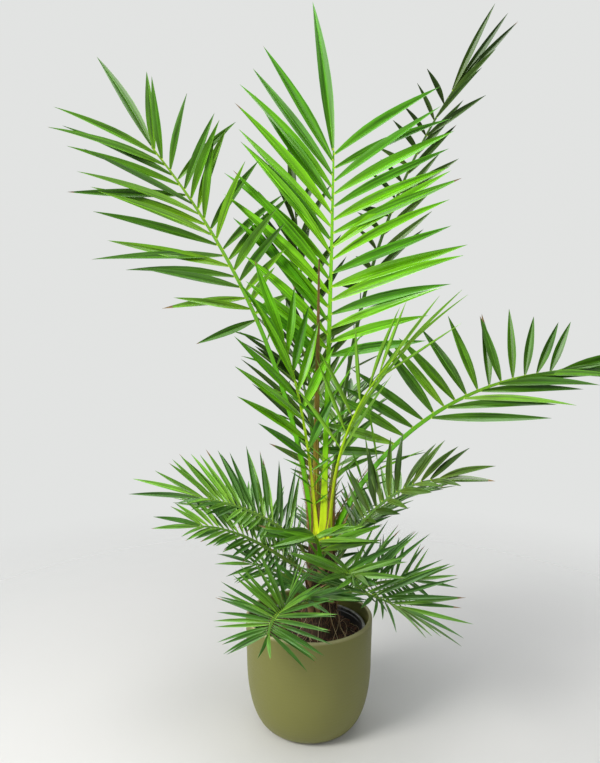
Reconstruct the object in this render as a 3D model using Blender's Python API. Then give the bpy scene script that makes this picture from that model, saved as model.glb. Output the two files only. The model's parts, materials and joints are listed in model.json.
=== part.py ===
"""A young date palm in a round-bottomed ceramic pot, 1.41 m tall together.

The frame is in metres with +Z up. Its origin is at the middle of the pot's flat underside, and the
plant is looked at along +Y, so -Y is its front and +X its right. The pot holds a plastic nursery pot,
and that holds the soil on which the stem stands. Every frond is seated on the stem, on its top or on
its side, and is grown by one rule: a midrib that is bent step by step, with leaflets on both sides.
"""
from math import cos, exp, pi, radians, sin

import bmesh
import bpy
from mathutils import Matrix, Vector
from mathutils.bvhtree import BVHTree

# Driving dimensions, in metres
GAP = 0.0003             # clearance where one piece rests on another

POT_HEIGHT = 0.206
POT_RIM_RADIUS = 0.115
POT_FOOT_RADIUS = 0.062  # flat underside
POT_BELLY_HEIGHT = 0.132 # where the round lower half meets the straight upper half
POT_FLARE = 0.0017       # how much the straight half opens out up to the rim
POT_WALL = 0.007
POT_FLOOR = 0.010
POT_FLOOR_RADIUS = 0.069 # flat floor inside
POT_ROUNDNESS = 2.3      # exponent of the belly's curve: 2 is an ellipse
POT_SIDES = 40
POT_ARCS = 9             # steps up the belly
RIM_ARCS = 4             # steps over the rim

LINER_RADIUS_FOOT = 0.066
LINER_RADIUS_RIM = 0.099
LINER_RIM_HEIGHT = 0.186
LINER_WALL = 0.0018
LINER_LIP = 0.0035       # how far the lip stands out
LINER_LIP_HEIGHT = 0.006
LINER_EDGE = 0.001       # bevel on the lip
LINER_SIDES = 32

SOIL_HEIGHT = 0.172      # level of the soil, and of the flat cut under the stem
SOIL_FLAT_RADIUS = 0.066 # it is level as far out as this
SOIL_SINK = 0.004        # how much lower it lies at the wall

STEM_TOP = 0.345
STEM_RADIUS_TOP = 0.024
STEM_TAPER = 0.006       # how much thicker it is at the soil, without the flare
STEM_FLARE = 0.010       # what the root flare adds at the soil
STEM_FLARE_LENGTH = 0.12 # as a fraction of the stem's height
STEM_AXIS_FOOT = Vector((0.020, 0.000))
STEM_AXIS_TOP = Vector((0.025, 0.003))
STEM_EDGE = 0.002        # bevel round the top
STEM_SIDES = 18
STEM_RINGS = 9

CROWN_RING = 0.017       # radius of the ring of stalks on the stem's flat top

SPEAR_SEAT = 145         # compass angle of the spear leaf on that ring
SPEAR_LENGTH = 0.50
SPEAR_RADIUS = 0.0042
SPEAR_LEAN = 0.006       # how far its tip leans to the right
SPEAR_TAPER = 0.85       # how much of its thickness it loses by its tip
SPEAR_SIDES = 6
SPEAR_STEPS = 6

LEAF_THICKNESS = 0.0105  # as a fraction of the leaflet's length
LEAF_WIDEST = 0.36       # where a leaflet is widest, as a fraction of its length
LEAF_CLEARANCE = 1.25    # a leaflet is tested for contact this much thicker than it is
LEAF_NUDGES = (0, 9, -9, 18, -18)  # degrees by which it is lifted or lowered to find room
MIDRIB_STEPS = 14
TIP_RADIUS = 0.0016      # a midrib's radius at its tip
SMALL_LEAF = 0.6         # least width of a short leaflet, as a fraction of the frond's leaf width
FULL_LEAF_FROM = 0.3     # how far along the blade its leaflets have their full length
LEAF_FALL = 1.6          # exponent of their shortening from there to the tip
ROOT_SINK = 0.5          # how far past the midrib's middle a root is sunk, in midrib radii
STALK_TAPER = 0.8        # exponent of a stalk's taper


class Frond:
    """One frond, as its grower's measures.

    seat is the compass angle of its stalk on the stem and height where it sits on the stem's side, or
    None on the flat top. heading and rise are the stalk's first direction, and sweep and droop turn
    it on its way to the tip; curl says how late the droop comes. twist rolls the blade about its
    midrib. bare is the part of the midrib without leaflets. left and right give, for the two sides,
    the leaflets' angle to the midrib at the blade's foot and at its tip, and their full length.
    short and tip are the lengths of the first and last leaflets as fractions of that. lift raises the
    leaflets out of the blade's plane, at its foot and at its tip, and roll turns each about its own
    line. ends are the angles of the last leaflets, end their length. late is where along the blade the
    right side's leaflets begin, and fewer how many it has less.
    """

    def __init__(self, name, colour, seat, height, heading, rise, length, left, right, width,
                 pairs=12, sweep=0, droop=0, curl=1.5, twist=0, bare=0.3, short=0.6, tip=0.8,
                 lift=(20, 20), roll=0, ends=(-7, 7), end=0.1, stalk=0.004, late=0, fewer=0):
        self.name = name
        self.colour = colour
        self.seat = radians(seat)
        self.height = height
        self.heading = heading
        self.rise = rise
        self.length = length
        self.left = left
        self.right = right
        self.width = width
        self.pairs = pairs
        self.sweep = sweep
        self.droop = droop
        self.curl = curl
        self.twist = radians(twist)
        self.bare = bare
        self.short = short
        self.tip = tip
        self.lift = lift
        self.roll = radians(roll)
        self.ends = ends
        self.end = end
        self.stalk = stalk
        self.late = late
        self.fewer = fewer


BRIGHT = (0.22, 0.52, 0.02)
MID = (0.06, 0.27, 0.02)
DEEP = (0.045, 0.17, 0.03)
DARK = (0.035, 0.11, 0.035)
YOUNG = (0.20, 0.45, 0.05)

FRONDS = (
    Frond("frond_centre", BRIGHT, -88, None, 76, 87, 0.723, (50, 42, 0.265), (84, 62, 0.245), 0.0215,
          pairs=13, sweep=10, droop=-15, curl=0.63, bare=0.44, short=0.7, tip=0.95, lift=(18, 18),
          ends=(8,), end=0.325, stalk=0.006),
    Frond("frond_left", MID, 190, None, 137, 81, 0.794, (80, 32, 0.235), (85, 50, 0.165), 0.0185,
          pairs=15, sweep=37, droop=-31, curl=0.82, twist=-75, bare=0.52, short=0.5, tip=0.85,
          lift=(22, 22), ends=(-6,), end=0.20, stalk=0.0055),
    Frond("frond_back_right", DARK, 33, None, 76, 72, 0.97, (110, 66, 0.085), (36, 16, 0.17), 0.0145,
          pairs=12, sweep=-52, droop=-19, curl=1.23, twist=70, bare=0.50, short=0.9, tip=0.95,
          ends=(-10, -3, 5), end=0.235, stalk=0.0055, fewer=2),
    Frond("frond_right", MID, -10, None, 3, 67, 0.538, (118, 62, 0.155), (40, 15, 0.20), 0.018, pairs=14,
          sweep=1, droop=-66, curl=0.99, twist=60, bare=0.34, short=1.0, tip=0.6, lift=(15, 15),
          ends=(-12, -3, 8), end=0.16, stalk=0.0055, late=0.24, fewer=7),
    Frond("frond_back_up", DARK, 72, None, 104, 62, 0.42, (62, 35, 0.18), (62, 35, 0.16), 0.016, pairs=9,
          droop=-17, tip=0.7, ends=(0,), end=0.12),
    Frond("frond_young_right", YOUNG, -50, None, -35, 88, 0.374, (38, 14, 0.19), (38, 14, 0.16), 0.0075,
          pairs=6, droop=-48, curl=1.3, twist=-20, bare=0.42, short=0.9, tip=0.9, lift=(15, 15),
          ends=(0,), end=0.15, stalk=0.0035),
    Frond("frond_young_left", YOUNG, -133, None, 178, 86, 0.36, (44, 22, 0.18), (40, 22, 0.13), 0.016,
          pairs=5, droop=-14, twist=-70, bare=0.42, short=0.8, tip=0.9, lift=(18, 18), ends=(3,),
          end=0.15, stalk=0.0032),
    Frond("frond_back_left", DARK, 108, None, 105, 76, 0.64, (58, 30, 0.17), (50, 30, 0.15), 0.016,
          pairs=8, droop=-6, bare=0.35, ends=(0,), end=0.15),
    Frond("frond_mid_right", DARK, -12, 0.315, -30, 57, 0.257, (75, 22, 0.105), (60, 20, 0.075), 0.013,
          pairs=11, droop=-49, curl=1.84, twist=50, bare=0.30, ends=(-9, 6), end=0.095, fewer=5),
    Frond("frond_mid_left", DEEP, -175, 0.315, -169, 59, 0.226, (105, 25, 0.065), (70, 25, 0.125), 0.0105,
          pairs=14, sweep=-5, droop=-50, curl=0.7, twist=-40, bare=0.22, short=0.9, end=0.125),
    Frond("frond_low_left", DEEP, -145, 0.285, -170, 37, 0.217, (80, 30, 0.060), (60, 30, 0.085), 0.0095,
          pairs=13, sweep=-6, droop=-37, curl=2.28, twist=-45, bare=0.25, short=0.8, lift=(10, 10),
          end=0.085),
    Frond("frond_front_left", DEEP, -130, 0.235, -130, 16, 0.19, (75, 78, 0.115), (75, 78, 0.105), 0.0078,
          pairs=13, sweep=40, droop=-22, twist=-6, bare=0.38, short=0.9, tip=0.7, lift=(75, -38), roll=55,
          end=0.07),
    Frond("frond_front_right", DEEP, -47, 0.255, -65, 28, 0.155, (80, 28, 0.155), (140, 35, 0.12), 0.009,
          pairs=13, sweep=49, droop=-55, curl=1.2, twist=0, bare=0.22, short=0.95, lift=(40, 12), roll=35,
          end=0.11),
    Frond("frond_front_small", MID, -95, 0.305, -100, 60, 0.12, (98, 50, 0.115), (98, 50, 0.115), 0.014,
          pairs=7, droop=-40, bare=0.25, short=0.9, tip=0.6, lift=(25, 0), roll=80, ends=(-40,), end=0.07,
          stalk=0.003),
    Frond("frond_front_mid", DEEP, -72, 0.265, -66, 46, 0.125, (105, 45, 0.125), (110, 45, 0.125), 0.012,
          pairs=9, droop=-45, bare=0.22, short=0.9, tip=0.6, lift=(20, 5), roll=75, end=0.06,
          stalk=0.003),
    Frond("frond_front_low", DEEP, -102, 0.240, -105, 38, 0.105, (100, 45, 0.10), (100, 45, 0.10), 0.010,
          pairs=8, droop=-40, bare=0.22, short=0.9, tip=0.6, lift=(20, 5), roll=75, end=0.05,
          stalk=0.003),
    Frond("frond_low_right", DARK, -4, 0.240, -6, 24, 0.14, (85, 50, 0.085), (70, 40, 0.06), 0.0065,
          pairs=9, droop=-26, twist=75, bare=0.3, lift=(5, 5), end=0.08, stalk=0.0035),
    Frond("frond_low_side", DARK, 176, 0.245, 172, 42, 0.11, (75, 35, 0.075), (70, 35, 0.085), 0.0075,
          pairs=8, droop=-42, twist=-50, bare=0.25, lift=(12, 12), end=0.07, stalk=0.0035),
    Frond("frond_back_mid", DEEP, 80, 0.325, 76, 62, 0.36, (65, 30, 0.14), (65, 30, 0.14), 0.014,
          pairs=11, droop=-50, end=0.11),
    Frond("frond_back_low_right", DEEP, 40, 0.290, 42, 40, 0.25, (70, 28, 0.12), (70, 28, 0.12), 0.012,
          pairs=13, droop=-48, bare=0.25, lift=(18, 18), end=0.09),
    Frond("frond_back_low_left", DEEP, 150, 0.265, 146, 42, 0.25, (70, 28, 0.12), (70, 28, 0.12), 0.012,
          pairs=13, droop=-50, bare=0.25, lift=(18, 18), end=0.09),
    Frond("frond_back_low", DEEP, 85, 0.240, 78, 35, 0.22, (75, 28, 0.12), (75, 28, 0.12), 0.012,
          droop=-45, bare=0.25, lift=(18, 18), end=0.09),
)


def clear_scene():
    for thing in list(bpy.data.objects):
        bpy.data.objects.remove(thing, do_unlink=True)


def painted(name, colour, roughness, metallic=0.0):
    """A plain surface in the piece's own colour."""
    material = bpy.data.materials.new(name)
    material.use_nodes = True
    shader = material.node_tree.nodes["Principled BSDF"]
    shader.inputs["Base Color"].default_value = (*colour, 1)
    shader.inputs["Roughness"].default_value = roughness
    shader.inputs["Metallic"].default_value = metallic
    return material


def object_from(bm, name, material=None):
    """Turn a bmesh into an object of the scene."""
    mesh = bpy.data.meshes.new(name)
    bm.to_mesh(mesh)
    bm.free()
    thing = bpy.data.objects.new(name, mesh)
    bpy.context.scene.collection.objects.link(thing)
    if material:
        mesh.materials.append(material)
    return thing


def smooth(thing, angle=35):
    thing.data.shade_smooth()
    thing.data.set_sharp_from_angle(angle=radians(angle))


def turned(name, outline, sides, material):
    """A piece turned on a wheel: an outline of (radius, height) points spun about the Z axis."""
    bm = bmesh.new()
    verts = [bm.verts.new((r, 0, z)) for r, z in outline]
    edges = [bm.edges.new(pair) for pair in zip(verts, verts[1:])]
    bmesh.ops.spin(bm, geom=verts + edges, cent=(0, 0, 0), axis=(0, 0, 1), angle=2 * pi, steps=sides,
                   use_merge=True)
    bmesh.ops.remove_doubles(bm, verts=bm.verts, dist=1e-5)
    bmesh.ops.recalc_face_normals(bm, faces=bm.faces)
    thing = object_from(bm, name, material)
    smooth(thing)
    return thing


def belly_radius(z, foot, belly, belly_height):
    """Radius of a round-bottomed pot at height z, on a superellipse up to its belly."""
    if z >= belly_height:
        return belly
    rise = (1 - z / belly_height) ** POT_ROUNDNESS
    return foot + (belly - foot) * (1 - rise) ** (1 / POT_ROUNDNESS)


def pot():
    """The ceramic cup: a flat foot, a round belly, a straight wall and a rounded rim."""
    belly = POT_RIM_RADIUS - POT_FLARE
    half = POT_WALL / 2
    outline = [(0, 0)]
    for i in range(POT_ARCS + 1):
        z = POT_BELLY_HEIGHT * (1 - cos(pi / 2 * i / POT_ARCS))
        outline.append((belly_radius(z, POT_FOOT_RADIUS, belly, POT_BELLY_HEIGHT), z))
    rim = (POT_RIM_RADIUS - half, POT_HEIGHT - half)
    for i in range(RIM_ARCS + 1):
        a = pi * i / RIM_ARCS
        outline.append((rim[0] + half * cos(a), rim[1] + half * sin(a)))
    inner_belly = belly - POT_WALL
    depth = POT_BELLY_HEIGHT - POT_FLOOR
    for i in range(POT_ARCS, -1, -1):
        z = depth * (1 - cos(pi / 2 * i / POT_ARCS))
        outline.append((belly_radius(z, POT_FLOOR_RADIUS, inner_belly, depth), POT_FLOOR + z))
    outline.append((0, POT_FLOOR))
    return turned("pot", outline, POT_SIDES, painted("olive_ceramic", (0.20, 0.21, 0.07), 0.55))


def liner_radius(z):
    """Outer radius of the nursery pot's straight tapering wall at height z."""
    foot = POT_FLOOR + GAP
    t = (z - foot) / (LINER_RIM_HEIGHT - foot)
    return LINER_RADIUS_FOOT + (LINER_RADIUS_RIM - LINER_RADIUS_FOOT) * t


def nursery_pot():
    """The thin plastic pot inside, with a lip turned out at its rim."""
    foot = POT_FLOOR + GAP
    top = LINER_RIM_HEIGHT
    under = top - LINER_LIP_HEIGHT
    lip = LINER_RADIUS_RIM + LINER_LIP
    outline = [(0, foot), (LINER_RADIUS_FOOT, foot), (liner_radius(under), under), (lip, under),
               (lip, top - LINER_EDGE), (lip - LINER_EDGE, top), (LINER_RADIUS_RIM - LINER_WALL, top),
               (LINER_RADIUS_FOOT - LINER_WALL, foot + LINER_WALL), (0, foot + LINER_WALL)]
    return turned("nursery_pot", outline, LINER_SIDES, painted("black_plastic", (0.02, 0.02, 0.02), 0.45))


def soil():
    """The soil fills the nursery pot; its top is flat under the stem and sinks a little at the wall."""
    foot = POT_FLOOR + 2 * GAP + LINER_WALL
    inset = LINER_WALL + 2 * GAP
    edge = SOIL_HEIGHT - SOIL_SINK
    wall = liner_radius(edge) - inset
    shoulder = ((SOIL_FLAT_RADIUS + wall) / 2, SOIL_HEIGHT - SOIL_SINK / 3)
    outline = [(0, foot), (liner_radius(foot) - inset, foot), (wall, edge), shoulder,
               (SOIL_FLAT_RADIUS, SOIL_HEIGHT), (0, SOIL_HEIGHT)]
    return turned("soil", outline, LINER_SIDES, painted("potting_soil", (0.035, 0.02, 0.012), 0.95))


def stem_radius(z):
    t = (z - SOIL_HEIGHT) / (STEM_TOP - SOIL_HEIGHT)
    return STEM_RADIUS_TOP + STEM_TAPER * (1 - t) + STEM_FLARE * exp(-t / STEM_FLARE_LENGTH)


def stem_axis(z):
    t = (z - SOIL_HEIGHT) / (STEM_TOP - SOIL_HEIGHT)
    return STEM_AXIS_FOOT.lerp(STEM_AXIS_TOP, t)


def stem():
    """The short stem: flared at the soil, leaning and tapering to a flat top with a rounded edge."""
    bm = bmesh.new()
    foot = SOIL_HEIGHT + GAP
    levels = [foot + (STEM_TOP - foot) * i / STEM_RINGS for i in range(STEM_RINGS)]
    sizes = [(z, stem_radius(z)) for z in levels]
    sizes += [(STEM_TOP - STEM_EDGE, STEM_RADIUS_TOP), (STEM_TOP, STEM_RADIUS_TOP - STEM_EDGE)]
    rings = []
    for z, r in sizes:
        axis = stem_axis(z)
        ring = []
        for k in range(STEM_SIDES):
            a = 2 * pi * k / STEM_SIDES
            ring.append(bm.verts.new((axis.x + r * cos(a), axis.y + r * sin(a), z)))
        rings.append(ring)
    close_tube(bm, rings)
    thing = object_from(bm, "stem", painted("fibrous_bark", (0.12, 0.07, 0.035), 0.9))
    smooth(thing)
    return thing


def close_tube(bm, rings):
    """Skin a row of rings and close both ends."""
    sides = len(rings[0])
    for low, high in zip(rings, rings[1:]):
        for k in range(sides):
            n = (k + 1) % sides
            bm.faces.new((low[k], low[n], high[n], high[k]))
    bm.faces.new(list(reversed(rings[0])))
    bm.faces.new(rings[-1])
    bmesh.ops.recalc_face_normals(bm, faces=bm.faces)


def stem_reach(z, angle):
    """Distance from the stem's axis to its faceted side, at height z in a compass direction."""
    half = pi / STEM_SIDES
    return stem_radius(z) * cos(half) / cos(angle % (2 * half) - half)


def seat(stalk, angle, height, corners):
    """Where a stalk starts: GAP clear of the stem's flat top, or of its side at the given height.

    corners are the directions from the stalk's middle to the corners of its end.
    """
    if height is None:
        axis = stem_axis(STEM_TOP)
        drop = max(-c.z for c in corners) * stalk
        return Vector((axis.x + CROWN_RING * cos(angle), axis.y + CROWN_RING * sin(angle),
                       STEM_TOP + GAP + drop))
    axis = stem_axis(height)
    outward = Vector((cos(angle), sin(angle), 0))
    reach = stem_reach(height, angle) + GAP + max(-c.dot(outward) for c in corners) * stalk
    return Vector((axis.x, axis.y, height)) + outward * reach


def rod_corners(across, out):
    """The four corner directions of a stalk or midrib, which is a four-sided rod."""
    return (across, out, -across, -out)


def midrib_frame(frond, t):
    """The directions along the midrib, across the blade and out of it, at a fraction t of its length."""
    lean = radians(frond.rise + frond.droop * t ** frond.curl)
    turn = radians(frond.heading + frond.sweep * t)
    along = Vector((cos(lean) * cos(turn), cos(lean) * sin(turn), sin(lean)))
    across = Matrix.Rotation(frond.twist, 3, along) @ Vector((-sin(turn), cos(turn), 0))
    return along, across, along.cross(across)


def midrib(frond):
    """Points of the midrib, laid step by step from its seat, and the three directions at each."""
    frames = [midrib_frame(frond, i / MIDRIB_STEPS) for i in range(MIDRIB_STEPS + 1)]
    point = seat(frond.stalk, frond.seat, frond.height, rod_corners(*frames[0][1:]))
    points = []
    for along, across, out in frames:
        points.append(point)
        point = point + along * (frond.length / MIDRIB_STEPS)
    return points, frames


def midrib_radius(frond, t):
    """The stalk's radius at t; it tapers all the way to the tip."""
    return TIP_RADIUS + (frond.stalk - TIP_RADIUS) * (1 - t) ** STALK_TAPER


def midrib_mesh(frond, points, frames):
    """The midrib as a four-sided tapering rod."""
    bm = bmesh.new()
    rings = []
    for i, (point, (along, across, out)) in enumerate(zip(points, frames)):
        r = midrib_radius(frond, i / MIDRIB_STEPS)
        rings.append([bm.verts.new(point + d * r) for d in rod_corners(across, out)])
    close_tube(bm, rings)
    return bm


def blade_points(root, along, side, length, width):
    """The six corners of a leaflet: root, four round its widest place, and tip."""
    thick = LEAF_THICKNESS * length / 2
    up = along.cross(side)
    middle = root + along * (length * LEAF_WIDEST)
    return (root, middle + side * (width / 2), middle + up * thick, middle - side * (width / 2),
            middle - up * thick, root + along * length)


BLADE_FACES = ((0, 2, 1), (0, 3, 2), (0, 4, 3), (0, 1, 4), (5, 1, 2), (5, 2, 3), (5, 3, 4), (5, 4, 1))


def thicker(corners):
    """The same leaflet, widened about its own line for the contact test."""
    centre = (corners[1] + corners[3]) / 2
    swollen = [centre + (c - centre) * LEAF_CLEARANCE for c in corners[1:5]]
    return (corners[0], *swollen, corners[5])


def leaflets(frond, points, frames, taken):
    """The corners of each leaflet that has room; it is lifted or lowered a little to find it."""
    grown = []
    for sign, (foot_angle, tip_angle, full) in ((1, frond.left), (-1, frond.right)):
        count = frond.pairs - (frond.fewer if sign < 0 else 0)
        for i in range(count):
            u = i / count if sign > 0 else frond.late + (1 - frond.late) * (i + 0.5) / count
            place = (frond.bare + (1 - frond.bare) * u) * MIDRIB_STEPS
            k = min(int(place), MIDRIB_STEPS - 1)
            along, across, out = frames[k]
            root = points[k].lerp(points[k + 1], place - k)
            share = size_share(frond, u)
            angle = radians(foot_angle + (tip_angle - foot_angle) * u)
            raised = frond.lift[0] + (frond.lift[1] - frond.lift[0]) * u
            for nudge in LEAF_NUDGES:
                lift = radians(raised + nudge)
                aside = across * (sign * cos(lift)) + out * sin(lift)
                face = out * cos(lift) - across * (sign * sin(lift))
                way = (along * cos(angle) + aside * sin(angle)).normalized()
                face = Matrix.Rotation(sign * frond.roll, 3, way) @ face
                corners = leaflet(frond, root, way, face, full * share, share, place / MIDRIB_STEPS)
                if has_room(corners, taken):
                    grown.append(corners)
                    break
    along, across, out = frames[-1]
    for turn in frond.ends:
        way = along * cos(radians(turn)) + across * sin(radians(turn))
        corners = leaflet(frond, points[-1], way, out, frond.end, 1, 1)
        if has_room(corners, taken):
            grown.append(corners)
    return grown


def size_share(frond, u):
    """A leaflet's length at u along the blade, as a fraction of the full length."""
    if u < FULL_LEAF_FROM:
        return frond.short + (1 - frond.short) * u / FULL_LEAF_FROM
    return 1 + (frond.tip - 1) * ((u - FULL_LEAF_FROM) / (1 - FULL_LEAF_FROM)) ** LEAF_FALL


def leaflet(frond, root, way, face, length, share, t):
    """A leaflet's corners, its root sunk past the middle of the midrib."""
    side = face.cross(way).normalized()
    sunk = root - way * (midrib_radius(frond, t) * ROOT_SINK)
    width = frond.width * (SMALL_LEAF + (1 - SMALL_LEAF) * share)
    return blade_points(sunk, way, side, length, width)


def has_room(corners, taken):
    probe = BVHTree.FromPolygons(thicker(corners), BLADE_FACES)
    return not any(probe.overlap(tree) for tree in taken)


def fuse(frond, rib, blades):
    """Join the leaflets to their midrib by one Boolean union on a collection of them."""
    thing = object_from(rib, frond.name)
    leaves = bpy.data.collections.new(frond.name + "_leaflets")
    bpy.context.scene.collection.children.link(leaves)
    for corners in blades:
        mesh = bpy.data.meshes.new("leaflet")
        mesh.from_pydata(corners, [], BLADE_FACES)
        leaves.objects.link(bpy.data.objects.new("leaflet", mesh))
    union = thing.modifiers.new("union", "BOOLEAN")
    union.operation = "UNION"
    union.operand_type = "COLLECTION"
    union.collection = leaves
    union.solver = "EXACT"
    joined = bpy.data.meshes.new_from_object(thing.evaluated_get(bpy.context.evaluated_depsgraph_get()))
    thing.modifiers.clear()
    thing.data = joined
    for leaf in list(leaves.objects):
        bpy.data.objects.remove(leaf, do_unlink=True)
    bpy.data.collections.remove(leaves)
    joined.materials.clear()
    joined.materials.append(painted(frond.name + "_green", frond.colour, 0.45))
    return thing


def spear():
    """The unopened spear leaf in the middle of the crown: a slim rod drawn out to a point."""
    foot = seat(SPEAR_RADIUS, radians(SPEAR_SEAT), None, [Vector((1, 0, 0))])
    bm = bmesh.new()
    rings = []
    for i in range(SPEAR_STEPS + 1):
        t = i / SPEAR_STEPS
        r = SPEAR_RADIUS * (1 - SPEAR_TAPER * t ** 2)
        centre = foot + Vector((SPEAR_LEAN * t, 0, SPEAR_LENGTH * t))
        ring = []
        for k in range(SPEAR_SIDES):
            a = 2 * pi * k / SPEAR_SIDES
            ring.append(bm.verts.new(centre + Vector((cos(a), sin(a), 0)) * r))
        rings.append(ring)
    close_tube(bm, rings)
    thing = object_from(bm, "spear_leaf", painted("dry_fibre", (0.20, 0.13, 0.05), 0.8))
    smooth(thing)
    return thing


def tree_of_object(thing):
    bm = bmesh.new()
    bm.from_mesh(thing.data)
    tree = BVHTree.FromBMesh(bm)
    bm.free()
    return tree


def build():
    clear_scene()
    solids = [pot(), nursery_pot(), soil(), stem(), spear()]
    taken = {thing.name: tree_of_object(thing) for thing in solids}
    ribs = {}
    for frond in FRONDS:
        points, frames = midrib(frond)
        rib = midrib_mesh(frond, points, frames)
        ribs[frond.name] = (points, frames, rib)
        taken[frond.name] = BVHTree.FromBMesh(rib)
    for frond in FRONDS:
        points, frames, rib = ribs[frond.name]
        others = [tree for name, tree in taken.items() if name != frond.name]
        thing = fuse(frond, rib, leaflets(frond, points, frames, others))
        taken[frond.name] = tree_of_object(thing)


build()
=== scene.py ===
import json
from dataclasses import dataclass
from math import cos, exp, pi, radians, sin
from random import Random

import bmesh
import bpy
import numpy as np
from mathutils import Matrix, Vector, noise
from mathutils.bvhtree import BVHTree

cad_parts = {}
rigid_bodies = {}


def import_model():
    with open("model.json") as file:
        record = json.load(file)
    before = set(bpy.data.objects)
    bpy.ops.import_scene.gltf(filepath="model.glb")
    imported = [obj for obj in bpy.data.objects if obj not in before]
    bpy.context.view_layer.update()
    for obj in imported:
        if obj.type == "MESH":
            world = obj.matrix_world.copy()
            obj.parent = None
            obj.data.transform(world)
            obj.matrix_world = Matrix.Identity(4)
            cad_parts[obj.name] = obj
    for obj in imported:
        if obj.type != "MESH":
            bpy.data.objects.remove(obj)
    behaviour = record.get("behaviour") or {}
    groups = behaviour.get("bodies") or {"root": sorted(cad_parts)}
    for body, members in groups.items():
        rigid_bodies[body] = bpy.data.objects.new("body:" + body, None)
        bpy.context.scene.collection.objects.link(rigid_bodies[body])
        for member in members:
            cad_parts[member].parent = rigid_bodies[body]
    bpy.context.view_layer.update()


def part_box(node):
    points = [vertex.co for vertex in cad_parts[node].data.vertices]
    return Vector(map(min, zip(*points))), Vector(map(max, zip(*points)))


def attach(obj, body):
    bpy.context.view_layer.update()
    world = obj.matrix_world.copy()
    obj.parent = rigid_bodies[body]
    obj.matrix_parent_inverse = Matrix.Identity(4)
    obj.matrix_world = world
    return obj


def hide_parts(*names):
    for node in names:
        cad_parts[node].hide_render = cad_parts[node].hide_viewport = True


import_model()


# The view. The plant stands about 1.2 m away and is seen from a little above its middle. A soft light,
# like a window, stands to its left and in front, a weaker one to its right, and one hangs above it. The
# pale walls fill the shadows, and a bright patch high up shows in gloss alone. The floor is a plain pale
# disc that fades out, so that no edge shows from any side.
EYE = (-0.0163, -1.224, 0.767)
LOOK_DOWN = radians(6.3)
FOCAL_PIXELS = 700       # the view's focal length, in pixels of an image 763 pixels high
IMAGE_HEIGHT = 763
SENSOR = 36
LIT_MIDDLE = Vector((0, 0, 0.6))  # what the lights face
# Each row: name, place, width, power, colour.
LIGHTS = (
    ("window", (-1.75, -1.35, 1.75), 0.9, 58, (1.0, 0.99, 0.95)),
    ("front", (0.9, -2.1, 1.5), 1.4, 9, (1.0, 1.0, 1.0)),
    ("above", (0.3, 0.1, 2.7), 1.3, 20, (1.0, 1.0, 1.0)),
)
WALL_SEEN = (0.76, 0.77, 0.76)
WALL_GLOW = (0.93, 0.96, 1.0)
WALL_GLOW_STRENGTH = 0.34
SHEEN_FROM = Vector((-0.35, 0.15, 0.92))  # where the bright patch lies that shows in gloss
SHEEN_EDGE = 0.5         # cosine of the angle from it at which the patch begins
SHEEN_MIDDLE = 0.9       # and at which it is brightest
SHEEN_STRENGTH = 5.0
SHEEN_DARK = 0.10        # what shows in gloss from everywhere else
FLOOR_COLOUR = (0.74, 0.735, 0.72)
FLOOR_RADIUS = 1.5
FLOOR_SOLID = 0.35       # the floor is whole as far out as this, and gone at its edge


def between(first, last, share):
    """The value that lies at a share of the way from the first to the last."""
    return first + (last - first) * share


def put(name, data):
    """A new object in the scene."""
    thing = bpy.data.objects.new(name, data)
    bpy.context.collection.objects.link(thing)
    return thing


def mesh_of(bm, name):
    """A bmesh written out as a mesh, and freed."""
    mesh = bpy.data.meshes.new(name)
    bm.to_mesh(mesh)
    bm.free()
    return mesh


def add(tree, kind, sockets=None, **settings):
    """A new node's outputs, once it has its settings and its sockets a value, a colour or a link."""
    made = tree.nodes.new(kind)
    for label, value in settings.items():
        setattr(made, label, value)
    for label, value in (sockets or {}).items():
        socket = made.inputs[label]
        if isinstance(value, bpy.types.NodeSocket):
            tree.links.new(value, socket)
        else:
            socket.default_value = (*value, 1) if socket.type == "RGBA" else value
    return made.outputs


def ranged(tree, value, low, high, to_low=0.0, to_high=1.0, **settings):
    """A value mapped from one range to another, and held at its ends."""
    ends = {"Value": value, "From Min": low, "From Max": high, "To Min": to_low, "To Max": to_high}
    return add(tree, "ShaderNodeMapRange", ends, **settings)[0]


def here(tree):
    """A material's place on its piece, in object coordinates."""
    return add(tree, "ShaderNodeTexCoord")["Object"]


def axes(tree, vector):
    """A vector's parts, by the names X, Y and Z."""
    return add(tree, "ShaderNodeSeparateXYZ", {0: vector})


def finish(name, roughness, gloss=0.5):
    """A new material, its tree and its shader, with a constant roughness and strength of gloss."""
    material = bpy.data.materials.new(name)
    material.use_nodes = True
    shader = material.node_tree.nodes["Principled BSDF"]
    shader.inputs["Roughness"].default_value = roughness
    shader.inputs["Specular IOR Level"].default_value = gloss
    return material, material.node_tree, shader


camera = put("camera", bpy.data.cameras.new("camera"))
camera.data.sensor_width = SENSOR
camera.data.lens = FOCAL_PIXELS / IMAGE_HEIGHT * SENSOR
camera.location = EYE
camera.rotation_euler = (pi / 2 - LOOK_DOWN, 0, 0)
bpy.context.scene.camera = camera
bpy.context.scene.view_settings.view_transform = "Standard"

for name, place, size, power, colour in LIGHTS:
    lamp = put(name, bpy.data.lights.new(name, "AREA"))
    lamp.data.size = size
    lamp.data.energy = power
    lamp.data.color = colour
    lamp.location = place
    lamp.rotation_euler = (LIT_MIDDLE - Vector(place)).to_track_quat("-Z", "Y").to_euler()

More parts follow.
